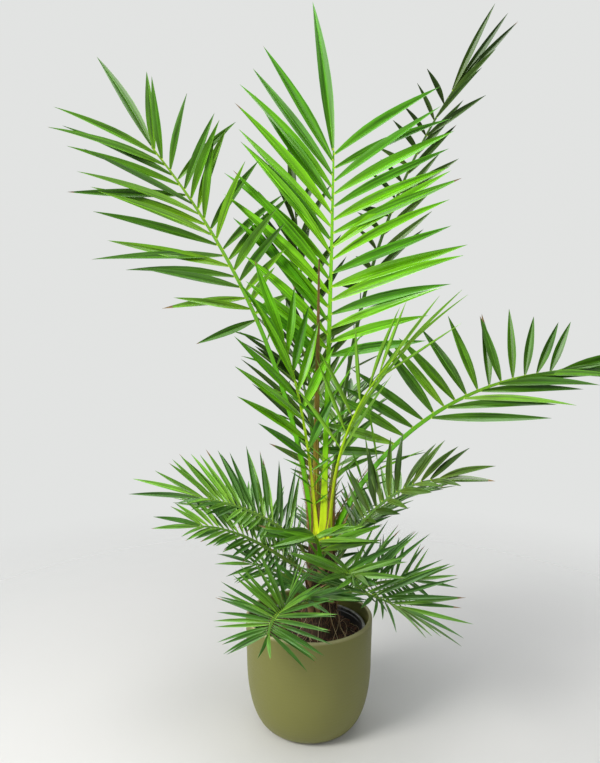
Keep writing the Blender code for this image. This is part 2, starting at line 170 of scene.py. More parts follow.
world = bpy.data.worlds.new("pale_room")
world.use_nodes = True
bpy.context.scene.world = world
sky = world.node_tree
sky.nodes.clear()
seen = add(sky, "ShaderNodeBackground", {"Color": WALL_SEEN, "Strength": 1})
glow = add(sky, "ShaderNodeBackground", {"Color": WALL_GLOW, "Strength": WALL_GLOW_STRENGTH})
ray = add(sky, "ShaderNodeLightPath")
way = add(sky, "ShaderNodeTexCoord")["Generated"]
near = add(sky, "ShaderNodeVectorMath", {0: way, 1: SHEEN_FROM}, operation="DOT_PRODUCT")["Value"]
bright = ranged(sky, near, SHEEN_EDGE, SHEEN_MIDDLE, SHEEN_DARK, SHEEN_STRENGTH)
sheen = add(sky, "ShaderNodeBackground", {"Strength": bright})
lit = add(sky, "ShaderNodeMixShader", {0: ray["Is Glossy Ray"], 1: glow[0], 2: sheen[0]})
both = add(sky, "ShaderNodeMixShader", {0: ray["Is Camera Ray"], 1: lit[0], 2: seen[0]})
add(sky, "ShaderNodeOutputWorld", {"Surface": both[0]})

bm = bmesh.new()
bmesh.ops.create_circle(bm, cap_ends=True, segments=96, radius=FLOOR_RADIUS)
floor = put("floor", mesh_of(bm, "floor"))
paint, tree, matt = finish("pale_floor", 0.7)
matt.inputs["Base Color"].default_value = (*FLOOR_COLOUR, 1)
reach = add(tree, "ShaderNodeVectorMath", {0: here(tree)}, operation="LENGTH")["Value"]
fade = ranged(tree, reach, FLOOR_SOLID, FLOOR_RADIUS, interpolation_type="SMOOTHSTEP")
clear = add(tree, "ShaderNodeBsdfTransparent")
mixed = add(tree, "ShaderNodeMixShader", {0: fade, 1: matt.outputs[0], 2: clear[0]})
tree.links.new(mixed[0], tree.nodes["Material Output"].inputs["Surface"])
floor.data.materials.append(paint)


# The pot is a slip-cast stoneware cup with a round belly and a thin rounded rim, dipped in a matt
# olive glaze. The glaze breaks paler where it runs thin over the rim, and the ring under the foot is
# wiped bare so that it doesn't stick to the kiln shelf.
POT_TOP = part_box("pot")[1].z
POT_RIM_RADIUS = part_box("pot")[1].x
POT_FOOT_RADIUS = 0.062
POT_BELLY_HEIGHT = 0.132  # where the round lower half meets the straight upper half
POT_FLARE = 0.0017       # how much the straight half opens out up to the rim
POT_WALL = 0.007
POT_FLOOR = 0.010
POT_FLOOR_RADIUS = 0.069
POT_ROUNDNESS = 2.3      # exponent of the belly's curve: 2 is an ellipse
POT_ARCS = 40
RIM_ARCS = 12
FOOT_RING = 0.006        # width of the ring it stands on
FOOT_RECESS = 0.0018
POT_SIDES = 144
OLIVE = (0.172, 0.172, 0.036)
OLIVE_THIN = (0.36, 0.345, 0.16)
BARE_CLAY = (0.52, 0.47, 0.37)
THIN_FROM = POT_TOP - 0.0055  # between these heights the glaze thins out over the rim
THIN_TO = POT_TOP - 0.0005
WIPED_FROM = 0.0022      # and between these it is wiped off the foot
WIPED_TO = 0.0014


def belly_radius(z, foot, belly, belly_height):
    """Radius of the round-bottomed pot at height z, on a superellipse up to its belly."""
    if z >= belly_height:
        return belly
    rise = (1 - z / belly_height) ** POT_ROUNDNESS
    return between(foot, belly, (1 - rise) ** (1 / POT_ROUNDNESS))


def walled(bm, rings):
    """Faces between rings of corners. A ring can also be one corner, where the faces meet."""
    sides = max(len(ring) for ring in rings)
    for low, high in zip(rings, rings[1:]):
        for k in range(sides):
            n = (k + 1) % sides
            corners = (low[k % len(low)], low[n % len(low)], high[n % len(high)], high[k % len(high)])
            bm.faces.new(list(dict.fromkeys(corners)))


def piece_from(mesh, sharp_from=38):
    """A mesh as a piece of the plant, shaded smooth but for its sharp edges."""
    mesh.shade_smooth()
    mesh.set_sharp_from_angle(angle=radians(sharp_from))
    return put(mesh.name, mesh)


def turned(name, outline, sides):
    """A piece turned on a wheel: an outline of (radius, height) points spun about the Z axis."""
    bm = bmesh.new()
    rings = []
    for r, z in outline:
        turns = [2 * pi * k / sides for k in range(sides)] if r else [0]
        rings.append([bm.verts.new((r * cos(a), r * sin(a), z)) for a in turns])
    walled(bm, rings)
    bmesh.ops.recalc_face_normals(bm, faces=bm.faces)
    return piece_from(mesh_of(bm, name))


def belongs(piece, slot, *nodes):
    """The piece rides with the whole plant and takes the place of the nodes. The slot is not used."""
    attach(piece, "root")
    if nodes:
        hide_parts(*nodes)


def node_group(kind, name, inputs, outputs):
    """An empty group of nodes with named sockets; also returns what it is given and what it gives."""
    group = bpy.data.node_groups.new(name, kind)
    for way, sockets in (("INPUT", inputs), ("OUTPUT", outputs)):
        for label, what in sockets.items():
            group.interface.new_socket(label, in_out=way, socket_type="NodeSocket" + what)
    given = group.nodes.new("NodeGroupInput")
    gives = group.nodes.new("NodeGroupOutput")
    return group, given.outputs, gives.inputs


def worked(tree, operation, *values):
    """The result of arithmetic on one to three values or links."""
    return add(tree, "ShaderNodeMath", dict(enumerate(values)), operation=operation)[0]


def noisy(tree, place, scale, detail=2.0, roughness=0.5):
    """A cloudy noise, between 0 and 1."""
    sockets = {"Vector": place, "Scale": scale, "Detail": detail, "Roughness": roughness}
    return add(tree, "ShaderNodeTexNoise", sockets)["Fac"]


def scaled(tree, colour, share):
    """A colour made lighter or darker."""
    sockets = {0: colour, "Scale": share}
    return add(tree, "ShaderNodeVectorMath", sockets, operation="SCALE")["Vector"]


def blended(tree, share, first, second, way="MIX"):
    """Two colours, blended by a share from 0 to 1."""
    sockets = {0: share, 6: first, 7: second}
    return add(tree, "ShaderNodeMix", sockets, data_type="RGBA", blend_type=way)[2]


# Mottle: a colour that drifts in broad clouds and is flecked by a fine grain, with the grain's height.
mottle, given, gives = node_group(
    "ShaderNodeTree", "mottle",
    {"Place": "Vector", "Colour": "Color", "Clouds": "Float", "Grain": "Float", "Depth": "Float",
     "Flecks": "Float"},
    {"Colour": "Color", "Clouds": "Float", "Grain": "Float"})
clouds = noisy(mottle, given["Place"], given["Clouds"], 4, 0.6)
grain = noisy(mottle, given["Place"], given["Grain"], 3, 0.65)
drift = worked(mottle, "SUBTRACT", clouds, 0.5)
fleck = worked(mottle, "SUBTRACT", grain, 0.5)
deep = worked(mottle, "MULTIPLY_ADD", drift, given["Depth"], 1.0)
light = worked(mottle, "MULTIPLY_ADD", fleck, given["Flecks"], deep)
mottle.links.new(scaled(mottle, given["Colour"], light), gives["Colour"])
mottle.links.new(clouds, gives["Clouds"])
mottle.links.new(grain, gives["Grain"])


def mottled(tree, place, colour, clouds, grain, depth, flecks):
    """The mottle's outputs in a material's tree."""
    sockets = {"Place": place, "Colour": colour, "Clouds": clouds, "Grain": grain, "Depth": depth,
               "Flecks": flecks}
    return add(tree, "ShaderNodeGroup", sockets, node_tree=mottle)


def surface(tree, shader, colour, bump, rough=None):
    """Link a shader's colour, its bump (height, metres) and its roughness (mask, value at 0, at 1)."""
    tree.links.new(colour, shader.inputs["Base Color"])
    raised = add(tree, "ShaderNodeBump", {"Height": bump[0], "Distance": bump[1], "Strength": 1.0})
    tree.links.new(raised[0], shader.inputs["Normal"])
    if rough:
        tree.links.new(ranged(tree, rough[0], 0, 1, *rough[1:]), shader.inputs["Roughness"])


pot_belly = POT_RIM_RADIUS - POT_FLARE
half_wall = POT_WALL / 2
outline = [(0, FOOT_RECESS), (POT_FOOT_RADIUS - FOOT_RING - FOOT_RECESS, FOOT_RECESS),
           (POT_FOOT_RADIUS - FOOT_RING, 0)]
for i in range(POT_ARCS + 1):
    z = POT_BELLY_HEIGHT * (1 - cos(pi / 2 * i / POT_ARCS))
    outline.append((belly_radius(z, POT_FOOT_RADIUS, pot_belly, POT_BELLY_HEIGHT), z))
for i in range(RIM_ARCS + 1):
    a = pi * i / RIM_ARCS
    outline.append((POT_RIM_RADIUS - half_wall + half_wall * cos(a),
                    POT_TOP - half_wall + half_wall * sin(a)))
inner_depth = POT_BELLY_HEIGHT - POT_FLOOR
for i in range(POT_ARCS, -1, -1):
    z = inner_depth * (1 - cos(pi / 2 * i / POT_ARCS))
    outline.append((belly_radius(z, POT_FLOOR_RADIUS, pot_belly - POT_WALL, inner_depth), POT_FLOOR + z))
outline.append((0, POT_FLOOR))
pot = turned("ceramic_pot", outline, POT_SIDES)

glaze, tree, shader = finish("olive_glaze", 0.5)
place = here(tree)
height = axes(tree, place)["Z"]
thin = blended(tree, ranged(tree, height, THIN_FROM, THIN_TO), OLIVE, OLIVE_THIN)
wiped = blended(tree, ranged(tree, height, WIPED_FROM, WIPED_TO), thin, BARE_CLAY)
skin = mottled(tree, place, wiped, clouds=16.0, grain=900.0, depth=0.14, flecks=0.10)
rings = add(tree, "ShaderNodeTexWave", {"Vector": place, "Scale": 48.0, "Distortion": 1.2, "Detail": 2.0,
                                        "Detail Scale": 0.6}, bands_direction="Z")["Fac"]
throwing = worked(tree, "MULTIPLY_ADD", rings, 0.25, skin["Grain"])
surface(tree, shader, skin["Colour"], (throwing, 0.00022), (skin["Clouds"], 0.40, 0.56))
pot.data.materials.append(glaze)
belongs(pot, "olive_ceramic", "pot")


# The nursery pot that the palm was sold in sits inside the cup. It is blow-moulded from black
# plastic, thin and tapering, with a turned-out lip, worn by scuffs and dusted with soil. The light
# flecks over the top of it are partly scuffs and partly a painted highlight.
GAP = 0.0003
LINER_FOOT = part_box("nursery_pot")[0].z
LINER_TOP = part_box("nursery_pot")[1].z
LINER_RADIUS_FOOT = 0.066
LINER_RADIUS_RIM = 0.099
LINER_WALL = 0.0018
LINER_CHAMFER = 0.001    # at its foot
LINER_LIP = 0.0035
LINER_LIP_HEIGHT = 0.006
LINER_LIP_ROUND = 0.0012
LINER_LIP_EDGE = 0.0008
LINER_BEAD = 0.0006      # a moulded bead under the lip, inside
LINER_BEAD_FROM = 0.007  # how far under the top it begins, and its height
LINER_BEAD_HEIGHT = 0.0016
LINER_SIDES = 128
BLACK = (0.022, 0.023, 0.024)
# the scuffs' light grey, made light enough to serve also as a painted highlight on the lip
SCUFF_AND_HIGHLIGHT = (0.36, 0.36, 0.35)
SCUFF_AND_HIGHLIGHT_DEPTH = 0.012    # how far under the top the scuffs and the painted highlight reach


def liner_radius(z):
    """Outer radius of the nursery pot's straight tapering wall at height z."""
    return between(LINER_RADIUS_FOOT, LINER_RADIUS_RIM, (z - LINER_FOOT) / (LINER_TOP - LINER_FOOT))


under = LINER_TOP - LINER_LIP_HEIGHT
lip = LINER_RADIUS_RIM + LINER_LIP
inside = LINER_RADIUS_RIM - LINER_WALL
outline = [(0, LINER_FOOT), (LINER_RADIUS_FOOT - LINER_CHAMFER, LINER_FOOT),
           (LINER_RADIUS_FOOT, LINER_FOOT + LINER_CHAMFER), (liner_radius(under), under),
           (lip - LINER_LIP_EDGE, under), (lip, under + LINER_LIP_EDGE)]
quarter = [pi / 2 * i / 6 for i in range(7)]
outline += [(lip - LINER_LIP_ROUND * (1 - cos(a)), LINER_TOP - LINER_LIP_ROUND * (1 - sin(a)))
            for a in quarter]
outline += [(inside + LINER_LIP_ROUND * (1 - sin(a)), LINER_TOP - LINER_LIP_ROUND * (1 - cos(a)))
            for a in quarter]
outline += [(inside - LINER_BEAD - LINER_BEAD * sin(pi * i / 4),
             LINER_TOP - LINER_BEAD_FROM - LINER_BEAD_HEIGHT * i / 4) for i in range(5)]
outline += [(liner_radius(LINER_FOOT + LINER_WALL) - LINER_WALL, LINER_FOOT + LINER_WALL),
            (0, LINER_FOOT + LINER_WALL)]
liner = turned("nursery_pot_liner", outline, LINER_SIDES)

plastic, tree, shader = finish("black_plastic", 0.38)
place = here(tree)
height = axes(tree, place)["Z"]
scratches = noisy(tree, place, 90.0, 6.0, 0.7)
# Flecks of light grey near the lip: partly scuffs, partly a painted highlight.
near_lip = ranged(tree, height, LINER_TOP - SCUFF_AND_HIGHLIGHT_DEPTH, LINER_TOP)
grey = ranged(tree, worked(tree, "MULTIPLY", scratches, near_lip), 0.32, 0.62, 0.0, 0.8)
scuffed_and_highlit = blended(tree, grey, BLACK, SCUFF_AND_HIGHLIGHT)
skin = mottled(tree, place, scuffed_and_highlit, clouds=30.0, grain=700.0, depth=0.3, flecks=0.2)
surface(tree, shader, skin["Colour"], (skin["Grain"], 0.00008), (scratches, 0.24, 0.5))
liner.data.materials.append(plastic)
belongs(liner, "black_plastic", "nursery_pot")


# The soil is a dark peat mix, heaped a little unevenly and sunken at the wall of the nursery pot. It
# is one closed lump whose top is roughened in the mesh.
SOIL_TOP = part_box("soil")[1].z
SOIL_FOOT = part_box("soil")[0].z
SOIL_SINK = 0.004
SOIL_HEAPS = 0.0042      # how high and low it is heaped
SOIL_CLODS = 0.0016
SOIL_RINGS = 30
SOIL_SIDES = 120
PEAT = (0.020, 0.012, 0.008)
PEAT_DRY = (0.060, 0.034, 0.021)


def soil_height(x, y):
    """Height of the roughened top of the soil."""
    r = Vector((x, y)).length
    wall = liner_radius(SOIL_TOP) - LINER_WALL - 2 * GAP
    settled = SOIL_SINK * max(0, r / wall) ** 4
    heap = noise.noise(Vector((x * 34, y * 34, 3.7))) * SOIL_HEAPS
    clod = noise.noise(Vector((x * 150, y * 150, 8.1))) * SOIL_CLODS
    return SOIL_TOP - settled + heap + clod


wall = liner_radius(SOIL_TOP - SOIL_SINK) - LINER_WALL - 2 * GAP
outline = [(0, SOIL_FOOT), (liner_radius(SOIL_FOOT) - LINER_WALL - 2 * GAP, SOIL_FOOT)]
outline += [(wall * (1 - i / SOIL_RINGS), SOIL_TOP - SOIL_SINK) for i in range(SOIL_RINGS + 1)]
ground = turned("potting_soil", outline, SOIL_SIDES)
for vertex in ground.data.vertices:
    if vertex.co.z > SOIL_FOOT + SOIL_SINK:
        vertex.co.z = soil_height(vertex.co.x, vertex.co.y)

earth, tree, shader = finish("peat_mix", 0.95)
place = here(tree)
drier = ranged(tree, noisy(tree, place, 55.0, 5.0), 0.5, 0.72)
patchy = blended(tree, drier, PEAT, PEAT_DRY)
skin = mottled(tree, place, patchy, clouds=80.0, grain=900.0, depth=0.9, flecks=0.7)
surface(tree, shader, skin["Colour"], (skin["Grain"], 0.0012))
ground.data.materials.append(earth)
belongs(ground, "potting_soil", "soil")


# On the soil lie its coarser bits: crumbs of peat, chips of bark and a little grit, each scattered
# over the top by one tree of nodes from a few shaped bits.
SHAPES_EACH = 4          # how many shapes of each bit there are
FLAT_ENOUGH = 0.4        # least upward part of the ground's direction where bits can lie
scatter, given, gives = node_group(
    "GeometryNodeTree", "scatter_bits",
    {"Ground": "Geometry", "Bits": "Collection", "Density": "Float", "Seed": "Int", "Smallest": "Float",
     "Largest": "Float", "Tilt": "Float", "Finish": "Material"},
    {"Bits": "Geometry"})
slope = axes(scatter, add(scatter, "GeometryNodeInputNormal")[0])
upward = add(scatter, "FunctionNodeCompare", {0: slope["Z"], 1: FLAT_ENOUGH}, data_type="FLOAT",
             operation="GREATER_THAN")
spots = add(scatter, "GeometryNodeDistributePointsOnFaces",
            {"Mesh": given["Ground"], "Selection": upward[0], "Density": given["Density"],
             "Seed": given["Seed"]})
lean = worked(scatter, "MULTIPLY", given["Tilt"], -1.0)
low_turn = add(scatter, "ShaderNodeCombineXYZ", {"X": lean, "Y": lean, "Z": -pi})
high_turn = add(scatter, "ShaderNodeCombineXYZ", {"X": given["Tilt"], "Y": given["Tilt"], "Z": pi})
turn = add(scatter, "FunctionNodeRandomValue",
           {"Min": low_turn[0], "Max": high_turn[0], "Seed": given["Seed"]}, data_type="FLOAT_VECTOR")
turned_by = add(scatter, "FunctionNodeEulerToRotation", {0: turn[0]})
size = add(scatter, "FunctionNodeRandomValue",
           {2: given["Smallest"], 3: given["Largest"], "Seed": given["Seed"]}, data_type="FLOAT")
bits = add(scatter, "GeometryNodeCollectionInfo",
           {"Collection": given["Bits"], "Separate Children": True, "Reset Children": True})
laid = add(scatter, "GeometryNodeInstanceOnPoints",
           {"Points": spots["Points"], "Instance": bits[0], "Pick Instance": True,
            "Rotation": turned_by[0], "Scale": size[1]})


def end_in(tree, geometry, given, gives):
    """End a tree with its instances made real, in the finish that it is given."""
    real = add(tree, "GeometryNodeRealizeInstances", {0: geometry})
    done = add(tree, "GeometryNodeSetMaterial", {"Geometry": real[0], "Material": given["Finish"]})
    tree.links.new(done[0], gives[0])


end_in(scatter, laid[0], given, gives)


def baked(source, tree, name, **values):
    """Run a tree of nodes on the source object and keep what it makes as a plain mesh of its own."""
    modifier = source.modifiers.new(tree.name, "NODES")
    modifier.node_group = tree
    for item in tree.interface.items_tree:
        if item.in_out == "INPUT" and item.name in values:
            modifier[item.identifier] = values[item.name]
    bpy.context.view_layer.update()
    made = source.evaluated_get(bpy.context.evaluated_depsgraph_get())
    mesh = bpy.data.meshes.new_from_object(made)
    source.modifiers.remove(modifier)
    return put(name, mesh)


def bit_shapes(name, stretch, roughness, seed):
    """A hidden collection of a few lumps: small icospheres, stretched and knocked out of round."""
    shapes = bpy.data.collections.new(name)
    bpy.context.scene.collection.children.link(shapes)
    for i in range(SHAPES_EACH):
        bm = bmesh.new()
        bmesh.ops.create_icosphere(bm, subdivisions=1, radius=0.5)
        for vertex in bm.verts:
            knock = 1 + roughness * noise.noise(vertex.co * 2.3 + Vector((i * 7.1, seed, 0)))
            vertex.co = Vector([c * s for c, s in zip(vertex.co, stretch)]) * knock
        shapes.objects.link(bpy.data.objects.new(f"{name}_{i}", mesh_of(bm, name)))
    return shapes


def earthy(name, colour, roughness):
    """A dull finish for bits of soil, bark and fibre."""
    material, tree, shader = finish(name, roughness)
    skin = mottled(tree, here(tree), colour, clouds=60.0, grain=500.0, depth=0.8, flecks=0.6)
    surface(tree, shader, skin["Colour"], (skin["Grain"], 0.0004))
    return material


# Each row: name, shape, roughness of shape, number per square metre, sizes, tilt, colour.
BITS = (
    ("peat_crumbs", (1.0, 0.85, 0.7), 1.1, 110000, (0.0014, 0.0048), 3.0, (0.026, 0.015, 0.010)),
    ("loose_crumbs", (1.0, 0.9, 0.75), 1.1, 26000, (0.0016, 0.0060), 3.0, (0.070, 0.038, 0.022)),
    ("bark_chips", (1.7, 0.8, 0.28), 0.7, 9000, (0.0035, 0.0085), 0.6, (0.13, 0.055, 0.030)),
    ("pale_grit", (1.0, 0.9, 0.8), 0.6, 2600, (0.0012, 0.0024), 3.0, (0.42, 0.36, 0.27)),
)
for seed, (name, stretch, knock, density, sizes, tilt, colour) in enumerate(BITS):
    shapes = bit_shapes(name, stretch, knock, seed * 3.3)
    litter = baked(ground, scatter, name, Bits=shapes, Density=float(density), Seed=seed + 11,
                   Smallest=sizes[0], Largest=sizes[1], Tilt=tilt,
                   Finish=earthy(name + "_finish", colour, 0.92))
    for shape in list(shapes.objects):
        bpy.data.objects.remove(shape, do_unlink=True)
    bpy.data.collections.remove(shapes)
    belongs(litter, "potting_soil")


# The stem is a short column of old leaf bases, cut back one above the other in a spiral and bound
# with brown fibre. Each base stands out of the stem like a scale, and ends in a ragged top edge.
STEM_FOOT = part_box("stem")[0].z
STEM_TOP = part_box("stem")[1].z
STEM_FOOT_AXIS = Vector((0.020, 0.000))
STEM_TOP_AXIS = Vector((0.025, 0.003))
STEM_RADIUS_TOP = 0.024
STEM_TAPER = 0.006
STEM_FLARE = 0.010
STEM_FLARE_LENGTH = 0.12
STEM_SIDES = 112
STEM_RINGS = 130
SCALES = 30              # leaf bases on the stem
SCALE_TURN = radians(137.5)
SCALE_HEIGHT = 0.030
SCALE_WIDTH = 0.020
SCALE_DEPTH = 0.0042
SCALES_START = 0.01      # how far under the stem's foot the lowest begins
STEM_INSET = 0.0026      # how far the stem between the bases lies inside its outline
SMOOTH_FROM = 0.88       # above this share of its height the stem's relief flattens
FIBRE_DEPTH = 0.0007
BARK = (0.036, 0.020, 0.011)
BARK_PALE = (0.120, 0.066, 0.030)


def stem_share(z):
    """How far up the stem a height is, from 0 at the soil to 1 at its top."""
    return (z - SOIL_TOP) / (STEM_TOP - SOIL_TOP)


def stem_radius(z):
    """Radius of the stem's outline at height z: a straight taper and a flare at the soil."""
    t = stem_share(z)
    return STEM_RADIUS_TOP + STEM_TAPER * (1 - t) + STEM_FLARE * exp(-t / STEM_FLARE_LENGTH)


def stem_axis(z):
    """The middle of the leaning stem at height z."""
    return STEM_FOOT_AXIS.lerp(STEM_TOP_AXIS, stem_share(z))


def beside_stem(angle, reach, z, axis_at=None):
    """A point at height z, out from the stem's axis, which can be taken at another height."""
    axis = stem_axis(z if axis_at is None else axis_at)
    return Vector((axis.x + reach * cos(angle), axis.y + reach * sin(angle), z))


def scale_relief(angle, z):
    """How far a leaf base stands out at a place on the stem, and 0 between the bases."""
    best = 0
    for i in range(SCALES):
        up = (z - (STEM_FOOT - SCALES_START + (STEM_TOP - STEM_FOOT) * i / SCALES)) / SCALE_HEIGHT
        if not 0 <= up <= 1:
            continue
        away = (angle - i * SCALE_TURN + pi) % (2 * pi) - pi
        across = abs(away) * stem_radius(z) / SCALE_WIDTH
        if across >= 1:
            continue
        ragged = 0.86 + 0.12 * noise.noise(Vector((angle * 9, i * 3.1, 0)))
        lip = 1 if up < ragged else max(0, 1 - (up - ragged) / 0.05)
        best = max(best, up ** 0.7 * (1 - across ** 2) ** 0.5 * lip)
    return best


def stem_point(angle, z):
    """A point of the stem's rough skin."""
    fibre = noise.noise(Vector((cos(angle) * 22, sin(angle) * 22, z * 26))) * FIBRE_DEPTH
    close = 1 - 0.75 * max(0, stem_share(z) - SMOOTH_FROM) / (1 - SMOOTH_FROM)
    relief = (scale_relief(angle, z) * SCALE_DEPTH + fibre) * close
    return beside_stem(angle, stem_radius(z) - STEM_INSET + relief, z)


def skinned(name, rows):
    """A closed tube through rows of points, with its faces pointing out."""
    bm = bmesh.new()
    rings = [[bm.verts.new(p) for p in row] for row in rows]
    walled(bm, rings)
    bm.faces.new(list(reversed(rings[0])))
    bm.faces.new(rings[-1])
    return piece_from(mesh_of(bm, name))


heights = [STEM_FOOT + (STEM_TOP - STEM_FOOT) * i / STEM_RINGS for i in range(STEM_RINGS + 1)]
rows = [[stem_point(2 * pi * k / STEM_SIDES, z) for k in range(STEM_SIDES)] for z in heights]
stem = skinned("stem_of_leaf_bases", rows)

bark, tree, shader = finish("fibrous_bark", 0.9)
place = here(tree)
stretched = add(tree, "ShaderNodeMapping", {"Vector": place, "Scale": (1.0, 1.0, 0.12)})[0]
threads = noisy(tree, stretched, 520.0, 4.0)
pale = ranged(tree, threads, 0.48, 0.7)
fibrous = blended(tree, pale, BARK, BARK_PALE)
skin = mottled(tree, place, fibrous, clouds=45.0, grain=800.0, depth=0.9, flecks=0.4)
surface(tree, shader, skin["Colour"], (threads, 0.0007))
stem.data.materials.append(bark)
belongs(stem, "fibrous_bark", "stem")


# Fibres and dry roots. Loose brown threads of the old sheaths hang on the stem, and pale dry roots
# and shed threads cross the soil. Each is a line that one tree of nodes turns into a tapering strand.
RUST = (0.16, 0.070, 0.034)
STRAW = (0.52, 0.40, 0.22)
SHEATH_BROWN = (0.25, 0.13, 0.055)
STRAND_FIELD = 0.088     # how far from the middle the strands on the soil start, and how far they go
STRAND_LIMIT = 0.092
STRAND_LIFT = 0.0012     # how high they lie over the soil
# Each straw's foot on the soil, its top on the leaf bases and its sag.
LEANING = (
    ((0.052, -0.062), (0.030, -0.034, 0.262), 0.004), ((0.010, -0.070), (0.026, -0.030, 0.236), -0.004),
    ((0.070, -0.048), (0.048, -0.020, 0.222), 0.003), ((0.034, -0.078), (0.052, -0.030, 0.206), 0.004),
    ((-0.030, -0.060), (-0.004, -0.024, 0.215), 0.002), ((-0.02, 0.066), (0.01, 0.03, 0.25), 0.004),
    ((0.055, 0.06), (0.04, 0.025, 0.23), -0.003),
)
spin, given, gives = node_group(
    "GeometryNodeTree", "spin_strands",
    {"Lines": "Geometry", "Thickness": "Float", "Sides": "Int", "Tip": "Float", "Finish": "Material"},
    {"Strands": "Geometry"})
curves = add(spin, "GeometryNodeMeshToCurve", {"Mesh": given["Lines"]})
along_it = add(spin, "GeometryNodeSplineParameter")["Factor"]
taper = ranged(spin, along_it, 0, 1, 1.0, given["Tip"])
profile = add(spin, "GeometryNodeCurvePrimitiveCircle",
              {"Resolution": given["Sides"], "Radius": given["Thickness"]}, mode="RADIUS")
tubes = add(spin, "GeometryNodeCurveToMesh",
            {"Curve": curves[0], "Profile Curve": profile[0], "Scale": taper, "Fill Caps": True})
end_in(spin, tubes[0], given, gives)


def strands(name, lines, material, thickness, sides, tip):
    """Turn lists of points into tapering strands, as one piece of dry fibre."""
    points, edges = [], []
    for line in lines:
        edges += [(len(points) + i, len(points) + i + 1) for i in range(len(line) - 1)]
        points += line
    mesh = bpy.data.meshes.new(name + "_lines")
    mesh.from_pydata(points, edges, [])
    source = put(name + "_lines", mesh)
    piece = baked(source, spin, name, Thickness=thickness, Sides=sides, Tip=tip, Finish=material)
    bpy.data.objects.remove(source, do_unlink=True)
    piece.data.shade_smooth()
    belongs(piece, "dry_fibre")


def soil_strand(chance, length, hop):
    """A thread that lies on the soil, with its middle lifted a little."""
    a = chance.uniform(0, 2 * pi)
    r = STRAND_FIELD * chance.uniform(0.1, 1) ** 0.5
    x, y = r * cos(a), r * sin(a)
    heading = chance.uniform(0, 2 * pi)
    lifted = chance.uniform(0, hop)
    line = []
    steps = 9
    for i in range(steps + 1):
        t = i / steps
        line.append((x, y, soil_height(x, y) + STRAND_LIFT + lifted * sin(pi * t)))
        heading += chance.uniform(-0.35, 0.35)
        x += cos(heading) * length / steps
        y += sin(heading) * length / steps
        out = Vector((x, y)).length
        if out > STRAND_LIMIT:
            x *= STRAND_LIMIT / out
            y *= STRAND_LIMIT / out
    return line


def leaning_straw(foot, top, sag):
    """A long dry thread that leans from the soil against the leaf bases."""
    foot = Vector((*foot, soil_height(*foot)))
    line = []
    for i in range(13):
        t = i / 12
        p = foot.lerp(Vector(top), t) - Vector((0, 0, sag * 4 * t * (1 - t)))
        p.x += 0.0015 * sin(9 * t)
        line.append(p)
    return line


def stem_fibre(chance):
    """A thread of old sheath that runs up the stem and peels away at its end."""
    angle = chance.uniform(0, 2 * pi)
    z = chance.uniform(STEM_FOOT, STEM_TOP - 0.02)
    length = chance.uniform(0.018, 0.055)
    drift = chance.uniform(-0.9, 0.9)
    peel = chance.uniform(0.001, 0.010)
    line = []
    for i in range(8):
        t = i / 7
        h = min(z + length * t, STEM_TOP + 0.03)
        r = stem_radius(min(h, STEM_TOP)) + 0.0004 + peel * t ** 2
        line.append(beside_stem(angle + drift * t, r, h))
    return line


chance = Random(31)
lines = [soil_strand(chance, chance.uniform(0.012, 0.035), 0.004) for _ in range(330)]
strands("coir_threads", lines, earthy("coir", RUST, 0.85), thickness=0.00032, sides=3, tip=0.5)
straw = earthy("straw", STRAW, 0.7)
lines = [soil_strand(chance, chance.uniform(0.03, 0.085), 0.010) for _ in range(34)]
strands("dry_roots", lines, straw, thickness=0.0005, sides=4, tip=0.4)
lines = [leaning_straw(*row) for row in LEANING]
strands("leaning_straws", lines, straw, thickness=0.00055, sides=5, tip=0.5)
chance = Random(47)
lines = [stem_fibre(chance) for _ in range(260)]
sheath = earthy("sheath_fibre", SHEATH_BROWN, 0.85)
strands("stem_fibres", lines, sheath, thickness=0.00042, sides=3, tip=0.35)


# The fronds all grow by one rule. A stalk leaves the stem, its line is laid step by step while it
# leans over and turns, and leaflets stand on both its sides, folded along the middle like a gutter.
CROWN_RING = 0.017       # radius of the ring of stalks on the stem's top
STEPS = 14               # steps in which a midrib's line is laid
TIP_RADIUS = 0.0016
STALK_TAPER = 0.8
RIB_SIDES = 14
RIB_DETAIL = 3           # rings for each step of the line
BOOT_RINGS = 5
BOOT_LENGTH = 0.022      # how far the stalk's foot runs down the stem
BOOT_NARROWS = 0.55      # by what share of its width it narrows on the way down
BOOT_SUNK = 0.001        # how far it reaches into the stem's outline
SHEATH_LENGTH = 0.030    # how soon the widened foot narrows to the stalk
SHEATH_BEND = 0.030      # radius to which the widened foot is bent round the stem
STALK_DEPTH = 0.82       # depth of a stalk, as a share of its width


@dataclass
class Frond:
    """One frond, as its grower's measures.

    seat is the compass angle of its stalk on the stem and height where it sits on the stem's side, or
    None on the flat top. heading and rise are the stalk's first direction, and sweep and droop turn
    it on its way to the tip; curl says how late the droop comes. twist rolls the blade about its
    midrib. bare is the part of the midrib without leaflets. left and right give, for the two sides,
    the leaflets' angle to the midrib at the blade's foot and at its tip, and their full length.
    short and tip are the lengths of the first and last leaflets as fractions of that. lift raises the
    leaflets out of the blade's plane, at its foot and at its tip, and roll turns each about its own
    line. ends are the angles of the last leaflets, end their length. late is where along the blade the
    right side's leaflets begin, and fewer how many it has less. spines is the number of thorny young
    leaflets on each side of the stalk, and wild how unevenly the leaflets stand, in degrees.
    """

    name: str
    slot: str
    seat: float
    height: float
    heading: float
    rise: float
    length: float
    left: tuple
    right: tuple
    width: float
    pairs: int = 12
    sweep: float = 0
    droop: float = 0
    curl: float = 1.5
    twist: float = 0
    bare: float = 0.3
    short: float = 0.6
    tip: float = 0.8
    lift: tuple = (20, 20)
    roll: float = 0
    ends: tuple = (-7, 7)
    end: float = 0.1
    stalk: float = 0.004
    late: float = 0
    fewer: int = 0
    spines: int = 5
    wild: float = 4


